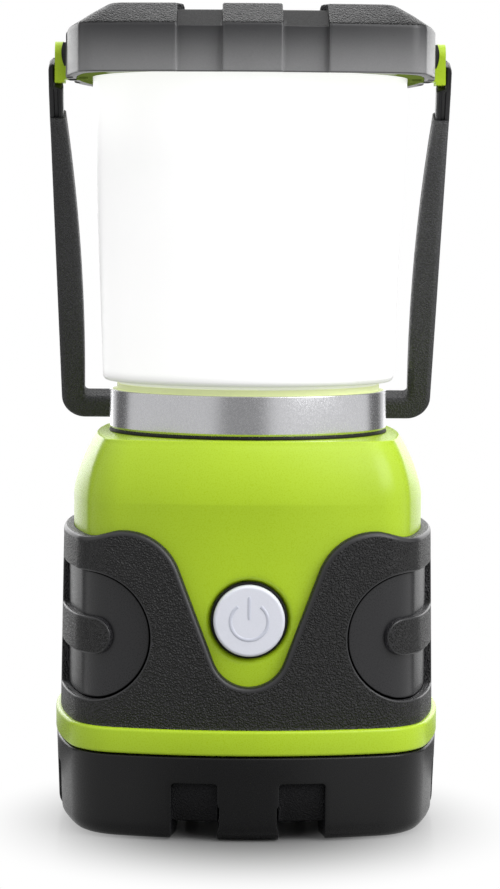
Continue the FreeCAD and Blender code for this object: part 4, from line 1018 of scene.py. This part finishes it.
def bail_bars():
    """The bail's two bars above the sleeve, with a groove down each face and a strap past the ear."""
    mould = Mould()
    lean = math.radians(bail_lean)
    edge = np.array([0.5, 0.15, 0, 0, 0.15, 0.5])
    edge_y = bail_bar_half * np.array([-1, -1, -1, 1, 1, 1]) + np.array([0, 0.15, 0.5, -0.5, -0.15, 0])
    slot, sunk = np.array([0.55, 0.35, -0.35, -0.55]), np.array([0, 1, 1, 0])
    for side in (1, -1):
        rows = []
        for drop, inner, outer, groove in bail_bar_stations:
            middle, wide = (inner + outer) / 2, slot * min(1, (outer - inner) / 2)
            floor = bail_bar_half - groove * sunk
            x = np.concatenate([outer - edge, middle + wide, inner + edge, middle - wide])
            y = np.concatenate([edge_y, floor, -edge_y, -floor])
            rows.append(stacked(side * x, y * math.cos(lean) + drop * math.sin(lean),
                                pivot_height + y * math.sin(lean) - drop * math.cos(lean)))
        mould.bar(rows)
    shown("bail_bars_black", mould, "bail", black_finish, ["bail_frame"], 45)


def button_ring():
    """Thin black ring round the button, sunk in the well."""
    mould = Mould()
    bore, wall = button_hole - 0.5, -wall_half
    profile = rounded([(bore, wall + 1.6), (bore, wall + 0.2), (button_hole - 0.08, wall + 0.25),
                       (button_hole + 0.04, wall + 0.6), (button_hole, wall + 1.6)], [0, 0.15, 0.15, 0.1, 0])
    turned(mould, profile, 96, button_at)
    shown("button_ring_black", mould, "lantern_body", seal_finish, ["button_seal"])


def power_mark():
    """Open ring and bar of the power symbol, raised on the button."""
    mould = Mould()
    front = button_front + 0.02
    beside = np.array([-0.42, -0.3, -0.12, 0.12, 0.3, 0.42])
    level = front + np.array([0.0, -0.1, -0.16, -0.16, -0.1, 0.0])
    radius = mark_radius + beside
    mould.bar([stacked(radius * math.cos(turn), level, button_at + radius * math.sin(turn))
               for turn in np.radians(np.linspace(128, 412, 60))])
    bar = []
    for up in np.linspace(mark_bar_foot, mark_bar_head, 12):
        taper = 1.0 if mark_bar_foot + 0.2 < up < mark_bar_head - 0.2 else 0.6
        bar.append(stacked(beside * taper, level, button_at + up))
    mould.bar(bar)
    shown("power_mark_raised", mould, "button", mark_finish)


bail_bars()
button_ring()
power_mark()
body_shell()
grip_wrap()
window_floors()
base_cover()
base_fittings()
cap_cover()
cap_lining()
trim_ring()

# Studio -----------------------------------------------------------------------

# The painted pool of shade on the floor, set towards the front of the lantern, in metres
pool_half_width, pool_half_depth, pool_forward = 0.068, 0.077, 0.02
floor_half, floor_level = 6.0, -0.0002
# Where the camera stands and looks, in metres and degrees
camera_away, camera_height, camera_swing, camera_tilt, camera_roll = 0.684, 0.1383, -0.8, 4.387, 0.39
camera_aim, camera_lens, camera_sensor = 0.00054, 117.4, 36.0


def tent_level(nodes, across, back):
    """How bright the tent is: dark ahead, a gap behind each side, brighter behind and on the right."""
    ahead = nodes.times(back, -1.0)
    leftward = nodes.times(nodes.most(ahead, 0.0), 0.09)
    angle = nodes.math("ARCTAN2", nodes.size(nodes.plus(across, leftward)), ahead)
    sides = nodes.spread(angle, 0.2, 0.5, 0.38, 0.76)
    gap = nodes.spread(nodes.size(nodes.minus(angle, 2.28)), 0.14, 0.28, 0.2, 1.0)
    level = nodes.plus(nodes.times(sides, gap), nodes.spread(angle, 2.6, 2.75, 0.0, 0.9))
    reach = nodes.math("SQRT", nodes.plus(nodes.times(across, across), nodes.times(back, back)))
    rightward = nodes.math("DIVIDE", across, nodes.most(reach, 0.001))
    return nodes.times(level, nodes.spread(rightward, 0.05, 0.5, 1.0, 1.15))


def floor_finish_made():
    """Floor with a painted pool of shade near the lantern, set towards the front, where the dark floor also takes
    the real shadow; white further out.
    """
    made = bpy.data.materials.new("studio_floor")
    nodes = Nodes(cleared(made))
    place = nodes.add("TexCoord")["Object"]
    way = nodes.split(place)
    pool = nodes.moved(place, (1 / pool_half_width, 1 / pool_half_depth, 0), (0, pool_forward / pool_half_depth, 0))
    # Share outside the painted pool of shade.
    outside_pool = nodes.spread(nodes.length(pool), 0.24, 0.98)
    light = nodes.add("LightPath")
    through = nodes.most(light["Is Camera Ray"], light["Is Transmission Ray"])
    seen = nodes.most(through, light["Is Glossy Ray"])
    level = nodes.either(through, nodes.math("MINIMUM", tent_level(nodes, way[0], way[1]), 1.0), 1.0)
    # Painted shade: a dark floor inside the pool, which glows outside it.
    dark_pool_floor = nodes.add("BsdfDiffuse", Color=(0.24, 0.24, 0.24, 1))[0]
    sheen = nodes.add("BsdfGlossy", Color=(0.8, 0.8, 0.8, 1), Roughness=0.22)[0]
    dark_pool_floor = nodes.add("MixShader", at0=0.12, at1=dark_pool_floor, at2=sheen)[0]
    glow = nodes.add("Emission", Color=(1, 1, 1, 1), Strength=level)[0]
    mixed = nodes.add("MixShader", at0=nodes.times(outside_pool, seen), at1=dark_pool_floor, at2=glow)[0]
    nodes.add("OutputMaterial", at0=mixed)
    return made


def studio_floor():
    made = bpy.data.meshes.new("studio_floor")
    sheet = bmesh.new()
    bmesh.ops.create_grid(sheet, x_segments=2, y_segments=2, size=floor_half)
    sheet.to_mesh(made)
    sheet.free()
    made.materials.append(floor_finish_made())
    floor = bpy.data.objects.new("studio_floor", made)
    floor.location = (0, 0, floor_level)
    scene.collection.objects.link(floor)


def studio_world():
    """Soft tent round the lantern, darker towards the camera; white where the camera looks."""
    scene.world = bpy.data.worlds.new("studio_tent")
    nodes = Nodes(cleared(scene.world))
    way = nodes.split(nodes.add("TexCoord")["Generated"])
    tent = nodes.plus(tent_level(nodes, way[0], way[1]), nodes.spread(way[2], 0.2, 0.9, 0.0, 0.4))
    light = nodes.add("LightPath")
    through = nodes.most(light["Is Camera Ray"], light["Is Transmission Ray"])
    back = nodes.add("Background", Color=(1, 1, 1, 1), Strength=nodes.either(through, tent, 1.0))[0]
    nodes.add("OutputWorld", at0=back)


def softbox(name, place, aim, size, power):
    lamp = bpy.data.lights.new(name, "AREA")
    lamp.shape, lamp.size, lamp.size_y, lamp.energy = "RECTANGLE", size[0], size[1], power
    made = bpy.data.objects.new(name, lamp)
    made.location = place
    made.rotation_euler = (Vector(aim) - Vector(place)).to_track_quat("-Z", "Y").to_euler()
    scene.collection.objects.link(made)


def camera():
    lens = bpy.data.cameras.new("photo_camera")
    lens.sensor_fit, lens.sensor_width, lens.sensor_height = "AUTO", camera_sensor, camera_sensor
    lens.lens = camera_lens
    made = bpy.data.objects.new("photo_camera", lens)
    swing, fall = math.radians(camera_swing), camera_away * math.tan(math.radians(camera_tilt))
    made.location = (camera_away * math.sin(swing), -camera_away * math.cos(swing), camera_height)
    look = Vector((camera_aim, 0, camera_height - fall)) - made.location
    made.rotation_mode = "QUATERNION"
    made.rotation_quaternion = look.to_track_quat("-Z", "Y") @ Quaternion((0, 0, 1), math.radians(camera_roll))
    scene.collection.objects.link(made)
    scene.camera = made


studio_floor()
studio_world()
softbox("left_rim", (-0.2, 0.58, 0.16), (0, 0, 0.1), (0.2, 0.5), 0.35)
softbox("right_rim", (0.2, 0.58, 0.16), (0, 0, 0.1), (0.2, 0.5), 0.2)
softbox("right_fill", (0.6, -0.4, 0.42), (0, 0, 0.06), (0.5, 0.35), 2.1)
softbox("overhead", (0.35, -0.3, 0.7), (0, 0, 0.05), (0.6, 0.6), 2.0)
camera()
scene.view_settings.view_transform = "Standard"
